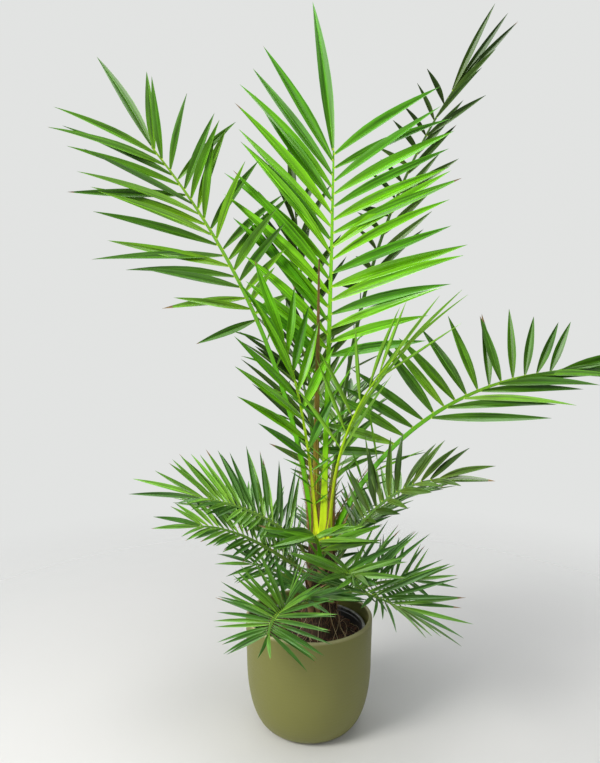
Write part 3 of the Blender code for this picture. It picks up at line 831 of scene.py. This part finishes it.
def rib_frame(frond, t):
    """The directions along the midrib, across the blade and out of it, at a fraction t of its length."""
    lean = radians(frond.rise + frond.droop * max(t, 0) ** frond.curl)
    turn = radians(frond.heading + frond.sweep * t)
    along = Vector((cos(lean) * cos(turn), cos(lean) * sin(turn), sin(lean)))
    across = Matrix.Rotation(radians(frond.twist), 3, along) @ Vector((-sin(turn), cos(turn), 0))
    return along, across, along.cross(across)


def rib_seat(frond):
    """Where the stalk starts, on the stem's flat top or against its side."""
    if frond.height is None:
        return beside_stem(radians(frond.seat), CROWN_RING, STEM_TOP + GAP + frond.stalk * 0.3, STEM_TOP)
    reach = stem_radius(frond.height) + GAP + frond.stalk * 0.7
    return beside_stem(radians(frond.seat), reach, frond.height)


def rib_line(frond):
    """The midrib's points, laid step by step, and the three directions at each."""
    frames = [rib_frame(frond, i / STEPS) for i in range(STEPS + 1)]
    point = rib_seat(frond)
    points = []
    for along, across, out in frames:
        points.append(point)
        point = point + along * (frond.length / STEPS)
    return points, frames


def on_line(points, place):
    """A point on the smooth curve through the midrib's points, at a number of steps along it."""
    last = len(points) - 1
    k = min(int(place), last - 1)
    f = place - k
    p0 = points[max(k - 1, 0)]
    p1 = points[k]
    p2 = points[k + 1]
    p3 = points[min(k + 2, last)]
    return (p1 * 2 + (p2 - p0) * f + (p0 * 2 - p1 * 5 + p2 * 4 - p3) * f ** 2
            + (p1 * 3 - p0 - p2 * 3 + p3) * f ** 3) / 2


def rib_radius(frond, t):
    """Radius of the stalk and midrib, which taper to the tip."""
    return between(TIP_RADIUS, frond.stalk, (1 - min(max(t, 0), 1)) ** STALK_TAPER)


def rib_rows(frond, points, sheath):
    """Rows of points round the stalk and midrib: a clasping foot, a grooved stalk, a slim tip."""
    seat = radians(frond.seat)
    tangent = Vector((-sin(seat), cos(seat), 0))
    outward = Vector((cos(seat), sin(seat), 0))
    axis = stem_axis(min(points[0].z, STEM_TOP))
    seat_reach = (Vector((points[0].x, points[0].y)) - axis).length
    rows, shares = [], []
    marks = [-BOOT_LENGTH * (1 - i / BOOT_RINGS) for i in range(BOOT_RINGS)]
    marks += [frond.length * i / (STEPS * RIB_DETAIL) for i in range(STEPS * RIB_DETAIL + 1)]
    for s in marks:
        t = s / frond.length
        along, across, out = rib_frame(frond, t)
        hug = exp(-max(s, 0) / (SHEATH_LENGTH * 1.5))
        if across.dot(tangent) < 0:
            tangent = -tangent
        wide = (across * (1 - hug) + tangent * hug).normalized()
        deep = along.cross(wide).normalized()
        inward = -outward if deep.dot(-outward) > 0 else outward
        centre = on_line(points, t * STEPS)
        shrink = 1
        if s < 0:
            share = -s / BOOT_LENGTH
            z = points[0].z + s
            reach = between(seat_reach, stem_radius(z) - BOOT_SUNK, share)
            base = stem_axis(z)
            centre = Vector((base.x, base.y, z)) + outward * reach
            wide = tangent.copy()
            deep = Vector((0, 0, 1)).cross(wide)
            shrink = 1 - BOOT_NARROWS * share ** 2
        r = rib_radius(frond, t)
        half = (r + sheath * exp(-max(s, 0) / SHEATH_LENGTH)) * shrink
        depth = r * STALK_DEPTH * shrink
        cup = half ** 2 / SHEATH_BEND * hug
        row = []
        for k in range(RIB_SIDES):
            a = 2 * pi * k / RIB_SIDES
            x = cos(a)
            y = sin(a)
            if y > 0:
                y = 0.62 * y - 0.34 * y ** 5  # the upper side is hollowed into a groove
            bend = inward * (cup * (x * x - 0.35))
            row.append(centre + wide * (half * x) + deep * (depth * y) + bend)
        rows.append(row)
        shares.append(t)
    return rows, shares


def rib_piece(name, rows, shares, material):
    """The stalk and midrib as a closed piece, with a UV map: round it, and along it from its seat."""
    piece = skinned(name, rows)
    mesh = piece.data
    sides = len(rows[0])
    uv = mesh.uv_layers.new(name="UVMap")
    for face in mesh.polygons:
        around = [mesh.loops[i].vertex_index % sides for i in face.loop_indices]
        wraps = max(around) - min(around) > sides / 2
        for i, k in zip(face.loop_indices, around):
            row = mesh.loops[i].vertex_index // sides
            u = 1.0 if wraps and k == 0 else k / sides
            uv.data[i].uv = (u, shares[row])
    mesh.materials.append(material)
    return piece


# A leaflet is a closed, thin blade of thirteen rings and a tip, six points round. It is narrow at its
# foot, widest before its middle, folded along its midrib, and curves over a little towards its point.
RINGS = 13
ROUND = 6
CORNERS = RINGS * ROUND + 1
SPREAD = 0.5 * (1 - np.cos(np.pi * np.arange(RINGS) / RINGS))
WIDEST = 0.40
FOOT_WIDTH = 0.20
OUTLINE = np.where(SPREAD < WIDEST, 1 - (1 - FOOT_WIDTH) * (1 - SPREAD / WIDEST) ** 1.8,
                   1 - (np.maximum(SPREAD - WIDEST, 0) / (1 - WIDEST)) ** 1.75)
BLADE_THICKNESS = 0.0009
ACROSS = (0.0, 0.25, 0.5, 0.75, 1.0, 0.5)
SMALL_LEAF = 0.6         # least width of a short leaflet, as a fraction of the frond's leaf width
FULL_LEAF_FROM = 0.3
LEAF_FALL = 1.6
NUDGES = (0, 9, -9, 18, -18)  # degrees by which a leaflet is lifted or lowered to find room
# A frond has this many times its pairs of leaflets, each slimmer for it, and some are widened again.
FINER = {"deep_leaf": 1.35, "green_leaf": 1.15, "dark_leaf": 1.0, "bright_leaf": 1.2}
WIDER = {"bright_leaf": 1.10, "green_leaf": 1.06}
blade_faces = []
blade_uv = []
for j in range(RINGS - 1):
    for k in range(ROUND):
        n = (k + 1) % ROUND
        blade_faces.append((j * ROUND + k, (j + 1) * ROUND + k, (j + 1) * ROUND + n, j * ROUND + n))
        blade_uv += [(ACROSS[k], SPREAD[j]), (ACROSS[k], SPREAD[j + 1]), (ACROSS[n], SPREAD[j + 1]),
                     (ACROSS[n], SPREAD[j])]
for k in range(ROUND):
    n = (k + 1) % ROUND
    last = (RINGS - 1) * ROUND
    blade_faces.append((last + k, RINGS * ROUND, last + n))
    blade_uv += [(ACROSS[k], SPREAD[-1]), (0.5, 1.0), (ACROSS[n], SPREAD[-1])]
blade_faces.append(tuple(range(ROUND)))
blade_uv += [(ACROSS[k], 0.0) for k in range(ROUND)]
blade_uv = np.array(blade_uv)


def blade(root, way, face, length, width, fold, bow, turn):
    """Points of a leaflet from its root, along its way, folded up towards its face.

    fold is the angle by which each half rises, bow how far it arches upwards and turn how much it
    winds about its own line, from foot to tip.
    """
    way = np.array(way)
    side = np.cross(np.array(face), way)
    side /= np.linalg.norm(side)
    up = np.cross(way, side)
    rise = np.array((0.0, 0.0, 1.0)) - way * way[2]
    size = np.linalg.norm(rise)
    rise = rise / size if size > 0.2 else up
    s = SPREAD[:, None]
    line = np.array(root) + way * (length * s) + rise * (bow * length * 4 * s * (1 - s))
    wound = (SPREAD * turn)[:, None]
    b = side * np.cos(wound) + up * np.sin(wound)
    n = up * np.cos(wound) - side * np.sin(wound)
    half = (OUTLINE * width / 2)[:, None] / cos(fold)
    flat = half * cos(fold)
    high = half * sin(fold)
    thick = BLADE_THICKNESS * (0.35 + 0.65 * OUTLINE[:, None])
    rows = (line - b * flat + n * high, line - b * flat * 0.5 + n * (high * 0.5 + half * 0.07), line,
            line + b * flat * 0.5 + n * (high * 0.5 + half * 0.07), line + b * flat + n * high,
            line - n * thick)
    ring_points = np.stack(rows, axis=1).reshape(-1, 3)
    return np.vstack((ring_points, np.array(root) + way * length))


def size_share(frond, u):
    """A leaflet's length at u along the blade, as a fraction of the full length."""
    if u < FULL_LEAF_FROM:
        return frond.short + (1 - frond.short) * u / FULL_LEAF_FROM
    return between(1, frond.tip, ((u - FULL_LEAF_FROM) / (1 - FULL_LEAF_FROM)) ** LEAF_FALL)


def joined(blades):
    """The points and the faces of many leaflets."""
    faces = [tuple(v + i * CORNERS for v in face) for i in range(len(blades)) for face in blade_faces]
    return np.vstack(blades).tolist(), faces


def set_leaflet(frond, chance, rib, taken, t, sign, angle, lift, length, width):
    """A list of one leaflet, set on the midrib at t and lifted or lowered a little if it would touch
    what is there, or an empty list if it has no room.
    """
    points, frames = rib
    place = min(t, 0.9999) * STEPS
    along, across, out = frames[int(place)]
    root = on_line(points, place)
    fold = radians(chance.uniform(26, 40))
    bow = chance.uniform(-0.004, 0.024)
    turn = radians(chance.uniform(-22, 22))
    tilt = radians(chance.uniform(-8, 8))
    for nudge in NUDGES:
        raised = radians(lift + nudge)
        aside = across * (sign * cos(raised)) + out * sin(raised)
        face = out * cos(raised) - across * (sign * sin(raised))
        way = (along * cos(angle) + aside * sin(angle)).normalized()
        face = Matrix.Rotation(sign * radians(frond.roll) + tilt, 3, way) @ face
        start = root + aside * (rib_radius(frond, t) * 0.7)
        made = blade(start, way, face, length, width, fold, bow, turn)
        probe = BVHTree.FromPolygons(made.tolist(), blade_faces)
        if not any(probe.overlap(tree) for tree in taken):
            return [made]
    return []


def leaflets(frond, rib, taken, seed):
    """All leaflets of a frond that have room: the blade's, its last ones and the stalk's spines."""
    chance = Random(seed)
    finer = FINER[frond.slot]
    wider = WIDER.get(frond.slot, 1)
    kept = (frond, chance, rib, taken)
    grown = []
    for sign, (foot_angle, tip_angle, full) in ((1, frond.left), (-1, frond.right)):
        count = round((frond.pairs - (frond.fewer if sign < 0 else 0)) * finer)
        for i in range(count):
            u = i / count if sign > 0 else frond.late + (1 - frond.late) * (i + 0.5) / count
            t = between(frond.bare, 1, u)
            share = size_share(frond, u)
            angle = radians(between(foot_angle, tip_angle, u) + chance.gauss(0, frond.wild))
            lift = between(*frond.lift, u) + chance.gauss(0, frond.wild)
            length = full * share * chance.uniform(0.93, 1.03)
            width = frond.width * between(SMALL_LEAF, 1, share) * chance.uniform(0.9, 1.08)
            width *= wider * finer ** -0.5
            grown += set_leaflet(*kept, t, sign, angle, lift, length, width)
        for i in range(frond.spines):
            u = (i + 0.5) / frond.spines
            t = frond.bare * (0.35 + 0.6 * u)
            length = full * frond.short * (0.22 + 0.45 * u) * chance.uniform(0.8, 1.15)
            angle = radians(chance.uniform(38, 62))
            width = frond.width * chance.uniform(0.2, 0.3)
            grown += set_leaflet(*kept, t, sign, angle, 35, length, width)
    for turn in frond.ends:
        sign = 1 if turn >= 0 else -1
        grown += set_leaflet(*kept, 1, sign, radians(abs(turn)), 0, frond.end, frond.width * wider)
    return grown


# Veins: fine lines along a leaflet, with the colour they streak, their gloss and their height.
veins, given, gives = node_group(
    "ShaderNodeTree", "leaf_veins",
    {"Place": "Vector", "Colour": "Color", "Lines": "Float", "Streak": "Float", "Midline": "Float"},
    {"Colour": "Color", "Gloss": "Float", "Height": "Float"})
long_way = add(veins, "ShaderNodeMapping", {"Vector": given["Place"], "Scale": (1.0, 0.12, 1.0)})[0]
lines = noisy(veins, long_way, given["Lines"])
relief = noisy(veins, long_way, given["Lines"], 0.0)
blotch = noisy(veins, given["Place"], 3.0)
streaks = worked(veins, "SUBTRACT", lines, 0.5)
softer = worked(veins, "SUBTRACT", blotch, 0.5)
summed = worked(veins, "MULTIPLY_ADD", softer, 0.6, streaks)
level = worked(veins, "MULTIPLY_ADD", summed, given["Streak"], 1.0)
apart = axes(veins, given["Place"])
off_middle = worked(veins, "SUBTRACT", worked(veins, "FRACT", apart["X"]), 0.5)
far = worked(veins, "ABSOLUTE", off_middle)
ridge = ranged(veins, far, 0.06, 0.02)
margin = ranged(veins, far, 0.45, 0.49, 0.0, 0.5)
pale = worked(veins, "MULTIPLY_ADD", ridge, given["Midline"], margin)
toned = scaled(veins, given["Colour"], worked(veins, "ADD", pale, level))
near_foot = ranged(veins, apart["Y"], 0.45, 0.0)
warmed = blended(veins, near_foot, toned, (1.35, 1.12, 0.9), "MULTIPLY")
veins.links.new(warmed, gives["Colour"])
veins.links.new(blotch, gives["Gloss"])
veins.links.new(worked(veins, "MULTIPLY_ADD", ridge, 0.8, relief), gives["Height"])


def leafy(name, colour, smooth, rough, gloss=0.30):
    """A leaflet's finish: one plain colour, streaked, glossed and ridged by its veins."""
    material, tree, shader = finish(name, smooth, gloss)
    place = add(tree, "ShaderNodeUVMap", uv_map="UVMap")[0]
    sockets = {"Place": place, "Colour": colour, "Lines": 6.0, "Streak": 2.4, "Midline": 0.5}
    skin = add(tree, "ShaderNodeGroup", sockets, node_tree=veins)
    surface(tree, shader, skin["Colour"], (skin["Height"], 0.00016), (skin["Gloss"], smooth, rough))
    return material


# A stalk is brown at its clasping foot. From there its green turns from a first to a second colour, and
# then to its last one at the tip.
HUSK = (0.30, 0.185, 0.085)


def stalky(name, foot, middle, tip, turns=0.35):
    """A stalk's finish, with its three colours and the share of its length where the second comes."""
    material, tree, shader = finish(name, 0.4, 0.18)
    place = add(tree, "ShaderNodeUVMap", uv_map="UVMap")[0]
    up = axes(tree, place)["Y"]
    ramp = tree.nodes.new("ShaderNodeValToRGB")
    tree.links.new(up, ramp.inputs[0])
    first, last = ramp.color_ramp.elements
    first.position = 0.02
    first.color = (*foot, 1)
    last.color = (*tip, 1)
    ramp.color_ramp.elements.new(turns).color = (*middle, 1)
    long_way = add(tree, "ShaderNodeMapping", {"Vector": place, "Scale": (1.0, 0.6, 1.0)})[0]
    ridges = noisy(tree, long_way, 26.0, 3.0)
    torn = worked(tree, "ADD", ranged(tree, up, 0.012, -0.012), ridges)
    husk = blended(tree, ranged(tree, torn, 0.75, 1.1), ramp.outputs[0], HUSK)
    skin = mottled(tree, here(tree), husk, clouds=70.0, grain=400.0, depth=0.35, flecks=0.15)
    surface(tree, shader, skin["Colour"], (ridges, 0.0002), (ridges, 0.35, 0.55))
    return material


# Each kind of frond has leaflets of three greens and a paler underside. Each row has the colour, the
# least and greatest roughness, and the gloss. The last number is the share of leaflets with a dry tip.
LEAF_LOOKS = {
    "deep_leaf": (((0.115, 0.290, 0.026), 0.25, 0.39, 0.55), ((0.170, 0.400, 0.040), 0.23, 0.36, 0.60),
                  ((0.055, 0.165, 0.020), 0.27, 0.41, 0.45), ((0.125, 0.230, 0.065), 0.40, 0.55, 0.30),
                  0.35),
    "green_leaf": (((0.080, 0.235, 0.005), 0.30, 0.44, 0.45), ((0.125, 0.315, 0.008), 0.28, 0.42, 0.50),
                   ((0.050, 0.160, 0.005), 0.32, 0.46, 0.45), ((0.100, 0.240, 0.050), 0.42, 0.58, 0.30),
                   0.25),
    "dark_leaf": (((0.055, 0.115, 0.016), 0.22, 0.36, 0.30), ((0.085, 0.165, 0.026), 0.20, 0.34, 0.30),
                  ((0.036, 0.080, 0.012), 0.24, 0.38, 0.30), ((0.100, 0.150, 0.070), 0.48, 0.62, 0.30),
                  0.3),
    "bright_leaf": (((0.102, 0.350, 0.004), 0.24, 0.36, 0.50), ((0.145, 0.430, 0.006), 0.22, 0.34, 0.60),
                    ((0.065, 0.255, 0.004), 0.26, 0.38, 0.50), ((0.190, 0.430, 0.030), 0.30, 0.45, 0.30),
                    0.12),
}
STALKS = {
    "deep_leaf": stalky("deep_stalk", (0.22, 0.30, 0.05), (0.14, 0.26, 0.04), (0.09, 0.22, 0.03)),
    "green_leaf": stalky("green_stalk", (0.13, 0.44, 0.004), (0.10, 0.38, 0.004), (0.19, 0.36, 0.02)),
    "dark_leaf": stalky("dark_stalk", (0.12, 0.26, 0.03), (0.10, 0.22, 0.03), (0.10, 0.18, 0.05)),
    "bright_leaf": stalky("bright_stalk", (0.68, 0.86, 0.02), (0.20, 0.56, 0.005), (0.16, 0.47, 0.012),
                          0.23),
}
DRY = leafy("dry_tip", (0.24, 0.16, 0.07), 0.7, 0.85)
PALE_FOOT = leafy("leaflet_foot", (0.28, 0.50, 0.05), 0.4, 0.55)
LEAVES = {slot: [leafy(f"{slot}_{part}", *row) for part, row in zip(("a", "b", "c", "under"), rows)]
          for slot, rows in LEAF_LOOKS.items()}
OLD_BELOW = 0.26         # fronds seated lower than this are the oldest, with more dark leaflets
HANGING_IN_PAINTED_SHADE = 0.3            # leaflets that fall by more than this share of their length take the darkest tint, as painted shade
DARKER_ABOVE = 0.80          # a frond of the crown is darker above this share of its leaflets' height
BRIGHTER_BELOW = {"bright_leaf": 0.80, "green_leaf": 0.5}  # and brighter below this one, on fronds of these kinds


def leaf_piece(frond, blades, seed):
    """Join a frond's leaflets. Each is dealt one of three tints, and some get a dry tip.

    Hanging leaflets take the darkest tint, as painted shade, and so do most of those at the upper end
    of a frond of the crown. Lower down, most leaflets of a crown frond of the bright and green kinds
    take the brightest.
    """
    first, second, third, under = LEAVES[frond.slot]
    if frond.height is not None and frond.height < OLD_BELOW:
        second = third
    finishes = (under, PALE_FOOT, DRY, first, second, third)
    chance = Random(seed)
    heights = [made[0][2] for made in blades]
    slots = []
    uv = []
    for i, made in enumerate(blades):
        tint = chance.randrange(3)
        reach = made[-1] - made[0]
        share = (heights[i] - min(heights)) / (max(heights) - min(heights))
        upper = frond.height is None and share > DARKER_ABOVE
        low_brighter = frond.height is None and share < BRIGHTER_BELOW.get(frond.slot, 0)
        # Painted shade: a hanging leaflet takes the darkest tint.
        if reach[2] < -HANGING_IN_PAINTED_SHADE * np.linalg.norm(reach):
            tint = 2
        elif tint and (upper or low_brighter):
            tint = 2 if upper or i % 3 == 0 else 1
        tint += finishes.index(first)
        dry_from = RINGS
        if chance.random() < LEAF_LOOKS[frond.slot][-1]:
            dry_from = RINGS - chance.choice((1, 2, 2, 3))
        for j in range(RINGS - 1):
            top = 1 if j == 0 else tint
            below = 1 if j == 0 else 0
            if j >= dry_from:
                top = below = 2
            slots += [top] * 4 + [below] * 2
        slots += ([2] * ROUND if dry_from < RINGS else [tint] * 4 + [0] * 2) + [1]
        uv.append(blade_uv + np.array((2.0 * i, 0.0)))
    mesh = bpy.data.meshes.new(frond.name + "_leaflets")
    points, faces = joined(blades)
    mesh.from_pydata(points, [], faces)
    for material in finishes:
        mesh.materials.append(material)
    mesh.polygons.foreach_set("material_index", slots)
    layer = mesh.uv_layers.new(name="UVMap")
    layer.data.foreach_set("uv", np.vstack(uv).ravel())
    return piece_from(mesh, 30)


# The lowest fronds are old, short and spiny: they ring the stem and hang over the rim of the pot.
LOW_FRONDS = (
    Frond("frond_low_left", "deep_leaf", -145, 0.285, -170, 37, 0.217, (80, 30, 0.060), (60, 30, 0.085),
          0.0095, pairs=13, sweep=-6, droop=-37, curl=2.28, twist=-45, bare=0.25, short=0.8,
          lift=(10, 10), end=0.085),
    Frond("frond_front_left", "deep_leaf", -130, 0.235, -130, 16, 0.19, (75, 78, 0.115),
          (75, 78, 0.105), 0.0078, pairs=13, sweep=40, droop=-22, twist=-6, bare=0.38, short=0.9,
          tip=0.7, lift=(75, -38), roll=55, end=0.07),
    Frond("frond_front_right", "deep_leaf", -47, 0.255, -65, 28, 0.155, (80, 28, 0.155),
          (140, 35, 0.12), 0.009, pairs=13, sweep=49, droop=-55, curl=1.2, bare=0.22,
          short=0.95, lift=(40, 12), roll=35, end=0.11, wild=6),
    Frond("frond_front_small", "green_leaf", -95, 0.305, -100, 60, 0.12, (98, 50, 0.115),
          (98, 50, 0.115), 0.014, pairs=7, droop=-40, bare=0.25, short=0.9, tip=0.6, lift=(25, 0),
          roll=80, ends=(-40,), end=0.07, stalk=0.003, spines=2, wild=12),
    Frond("frond_front_mid", "deep_leaf", -72, 0.265, -66, 46, 0.125, (105, 45, 0.125),
          (110, 45, 0.125), 0.012, pairs=9, droop=-45, bare=0.22, short=0.9, tip=0.6, lift=(20, 5),
          roll=75, end=0.06, stalk=0.003, spines=2, wild=12),
    Frond("frond_front_low", "deep_leaf", -102, 0.240, -105, 38, 0.105, (100, 45, 0.10),
          (100, 45, 0.10), 0.010, pairs=8, droop=-40, bare=0.22, short=0.9, tip=0.6, lift=(20, 5),
          roll=75, end=0.05, stalk=0.003, spines=2, wild=12),
    Frond("frond_low_right", "deep_leaf", -4, 0.240, -6, 24, 0.14, (85, 50, 0.085), (70, 40, 0.06),
          0.0065, pairs=9, droop=-26, twist=75, bare=0.3, lift=(5, 5), end=0.08, stalk=0.0035, wild=6),
    Frond("frond_low_side", "deep_leaf", 176, 0.245, 172, 42, 0.11, (75, 35, 0.075), (70, 35, 0.085),
          0.0075, pairs=8, droop=-42, twist=-50, bare=0.25, lift=(12, 12), end=0.07, stalk=0.0035,
          wild=8),
    Frond("frond_back_low_right", "deep_leaf", 40, 0.290, 42, 40, 0.25, (70, 28, 0.12), (70, 28, 0.12),
          0.012, pairs=13, droop=-48, bare=0.25, lift=(18, 18), end=0.09),
    Frond("frond_back_low_left", "deep_leaf", 150, 0.265, 146, 42, 0.25, (70, 28, 0.12), (70, 28, 0.12),
          0.012, pairs=13, droop=-50, bare=0.25, lift=(18, 18), end=0.09),
    Frond("frond_back_low", "deep_leaf", 85, 0.240, 78, 35, 0.22, (75, 28, 0.12), (75, 28, 0.12), 0.012,
          droop=-45, bare=0.25, lift=(18, 18), end=0.09),
)

# The middle fronds stand a little higher on the stem and arch out to both sides.
MIDDLE_FRONDS = (
    Frond("frond_mid_right", "dark_leaf", -12, 0.315, -30, 57, 0.257, (75, 22, 0.105), (60, 20, 0.075),
          0.013, pairs=11, droop=-49, curl=1.84, twist=50, bare=0.30, ends=(-9, 6), end=0.095, fewer=5,
          wild=6),
    Frond("frond_mid_left", "deep_leaf", -175, 0.315, -169, 59, 0.226, (105, 25, 0.065),
          (70, 25, 0.125), 0.0105, pairs=14, sweep=-5, droop=-50, curl=0.7, twist=-40, bare=0.22,
          short=0.9, end=0.125),
    Frond("frond_back_mid", "deep_leaf", 80, 0.325, 76, 62, 0.36, (65, 30, 0.14), (65, 30, 0.14), 0.014,
          pairs=11, droop=-50, end=0.11, wild=8),
)

# The upper fronds are seated on the stem's top: dark old ones behind, two broad green ones that arch to
# the left and right, and the youngest, upright and bright, in the middle.
BACK_FRONDS = (
    Frond("frond_back_right", "dark_leaf", 33, None, 76, 72, 0.97, (110, 66, 0.085), (36, 16, 0.17),
          0.0145, sweep=-52, droop=-19, curl=1.23, twist=70, bare=0.50, short=0.9, tip=0.95,
          ends=(-10, -3, 5), end=0.235, stalk=0.0055, fewer=2, wild=7),
    Frond("frond_back_up", "dark_leaf", 72, None, 104, 62, 0.42, (62, 35, 0.18), (62, 35, 0.16), 0.016,
          pairs=9, droop=-17, tip=0.7, ends=(0,), end=0.12, wild=9),
    Frond("frond_back_left", "dark_leaf", 108, None, 105, 76, 0.64, (58, 30, 0.17), (50, 30, 0.15),
          0.016, pairs=8, droop=-6, bare=0.35, ends=(0,), end=0.15, wild=11),
)
SIDE_FRONDS = (
    Frond("frond_left", "green_leaf", 190, None, 137, 81, 0.794, (80, 32, 0.235), (85, 50, 0.165),
          0.0185, pairs=15, sweep=37, droop=-31, curl=0.82, twist=-75, bare=0.52, short=0.5, tip=0.85,
          lift=(22, 22), ends=(-6,), end=0.20, stalk=0.0055, wild=9),
    Frond("frond_right", "green_leaf", -10, None, 3, 67, 0.538, (118, 62, 0.155), (40, 15, 0.20), 0.018,
          pairs=14, sweep=1, droop=-66, curl=0.99, twist=60, bare=0.34, short=1.0, tip=0.6,
          lift=(15, 15), ends=(-12, -3, 8), end=0.16, stalk=0.0055, late=0.24, fewer=7, wild=7),
)
YOUNG_FRONDS = (
    Frond("frond_centre", "bright_leaf", -88, None, 76, 87, 0.723, (50, 42, 0.265), (84, 62, 0.245),
          0.0215, pairs=13, sweep=10, droop=-15, curl=0.63, bare=0.44, short=0.7, tip=0.95,
          lift=(18, 18), ends=(8,), end=0.325, stalk=0.006),
    Frond("frond_young_right", "bright_leaf", -50, None, -35, 88, 0.374, (38, 14, 0.19), (38, 14, 0.16),
          0.0075, pairs=6, droop=-48, curl=1.3, twist=-20, bare=0.42, short=0.9, tip=0.9, lift=(15, 15),
          ends=(0,), end=0.15, stalk=0.0035, wild=8, spines=3),
    Frond("frond_young_left", "bright_leaf", -133, None, 178, 86, 0.36, (44, 22, 0.18), (40, 22, 0.13),
          0.016, pairs=5, droop=-14, twist=-70, bare=0.42, short=0.8, tip=0.9, lift=(18, 18), ends=(3,),
          end=0.15, stalk=0.0032, wild=9, spines=3),
)


# The fronds are set one by one, the youngest first. Each midrib goes in before any leaflet, and each
# leaflet keeps clear of the pots, of the other fronds' midribs and of the leaflets that are there.
SHEATHS = {True: 0.0065, False: 0.0045}  # half-width that the foot adds, on the crown and on the side
YOUNG_STALK = stalky("young_stalk", (0.72, 0.84, 0.02), (0.42, 0.70, 0.012), (0.28, 0.56, 0.02), 0.5)


def tree_of_piece(piece):
    """A search tree of a piece's faces."""
    bm = bmesh.new()
    bm.from_mesh(piece.data)
    tree = BVHTree.FromBMesh(bm)
    bm.free()
    return tree


all_fronds = YOUNG_FRONDS + SIDE_FRONDS + BACK_FRONDS + MIDDLE_FRONDS + LOW_FRONDS
ribs = {}
taken = {"pot": tree_of_piece(pot), "liner": tree_of_piece(liner)}
for frond in all_fronds:
    ribs[frond.name] = rib_line(frond)
    rows, shares = rib_rows(frond, ribs[frond.name][0], SHEATHS[frond.height is None])
    stalk = YOUNG_STALK if frond.name.startswith("frond_young") else STALKS[frond.slot]
    rib = rib_piece(frond.name + "_midrib", rows, shares, stalk)
    belongs(rib, frond.slot, frond.name)
    taken[frond.name] = tree_of_piece(rib)
leaf_trees = []
for seed, frond in enumerate(all_fronds):
    others = [tree for name, tree in taken.items() if name != frond.name] + leaf_trees
    blades = leaflets(frond, ribs[frond.name], others, seed + 100)
    leaf_trees.append(BVHTree.FromPolygons(*joined(blades)))
    belongs(leaf_piece(frond, blades, seed + 500), frond.slot, frond.name)


# The spear is the next leaf, still closed: a slim pleated spike wrapped in its own brown fibre.
SPEAR_SEAT = radians(145)
SPEAR_LENGTH = 0.50
SPEAR_RADIUS = 0.0042
SPEAR_LEAN = 0.006
SPEAR_TAPER = 0.85
SPEAR_SIDES = 20
SPEAR_RINGS = 60
SPEAR_WIND = 1.5         # how far its pleats wind round it, in radians
SPEAR_PLEAT = 0.22       # depth of a pleat, as a share of the radius
spear_foot = beside_stem(SPEAR_SEAT, CROWN_RING, STEM_TOP + GAP, STEM_TOP)
rows, shares = [], []
for i in range(SPEAR_RINGS + 1):
    t = i / SPEAR_RINGS
    r = SPEAR_RADIUS * (1.15 - (SPEAR_TAPER + 0.05) * t ** 1.8)
    centre = spear_foot + Vector((SPEAR_LEAN * t, 0, SPEAR_LENGTH * t))
    row = []
    for k in range(SPEAR_SIDES):
        a = 2 * pi * k / SPEAR_SIDES + t * SPEAR_WIND
        pleat = 1 + SPEAR_PLEAT * (1 if k % 2 else -1) * min(1, t * 6)
        row.append(centre + Vector((cos(a), sin(a), 0)) * (r * pleat))
    rows.append(row)
    shares.append(t)
fibrous = stalky("spear_fibre", (0.50, 0.50, 0.04), (0.34, 0.24, 0.05), (0.20, 0.13, 0.05))
belongs(rib_piece("spear_leaf_pleats", rows, shares, fibrous), "dry_fibre", "spear_leaf")


# Between the young stalks the sheaths have torn into a net of orange-brown threads, which run up along
# the stalks' edges and fray away from them.
NET_THREADS = 26         # on each stalk of the crown
NET_BROWN = (0.36, 0.19, 0.06)


def crown_thread(chance, frond):
    """A thread that follows a stalk's edge up from the stem and then frays off it."""
    start = chance.uniform(0, 0.03)
    length = chance.uniform(0.04, 0.16)
    side = chance.choice((-1, 1))
    off = chance.uniform(0.8, 1.5)
    peel = chance.uniform(0.0, 0.012)
    drift = Vector((chance.uniform(-1, 1), chance.uniform(-1, 1), 0))
    line = []
    for i in range(11):
        f = i / 10
        s = start + length * f
        t = s / frond.length
        along, across, out = rib_frame(frond, t)
        reach = (rib_radius(frond, t) + SHEATHS[True] * exp(-s / SHEATH_LENGTH)) * off
        edge = on_line(ribs[frond.name][0], t * STEPS) + across * (side * reach)
        line.append(edge + drift * (peel * f ** 2))
    return line


chance = Random(77)
crown = YOUNG_FRONDS + SIDE_FRONDS + BACK_FRONDS
fringe = [crown_thread(chance, frond) for frond in crown for _ in range(NET_THREADS)]
strands("crown_net", fringe, earthy("net_fibre", NET_BROWN, 0.8), thickness=0.0004, sides=3, tip=0.4)
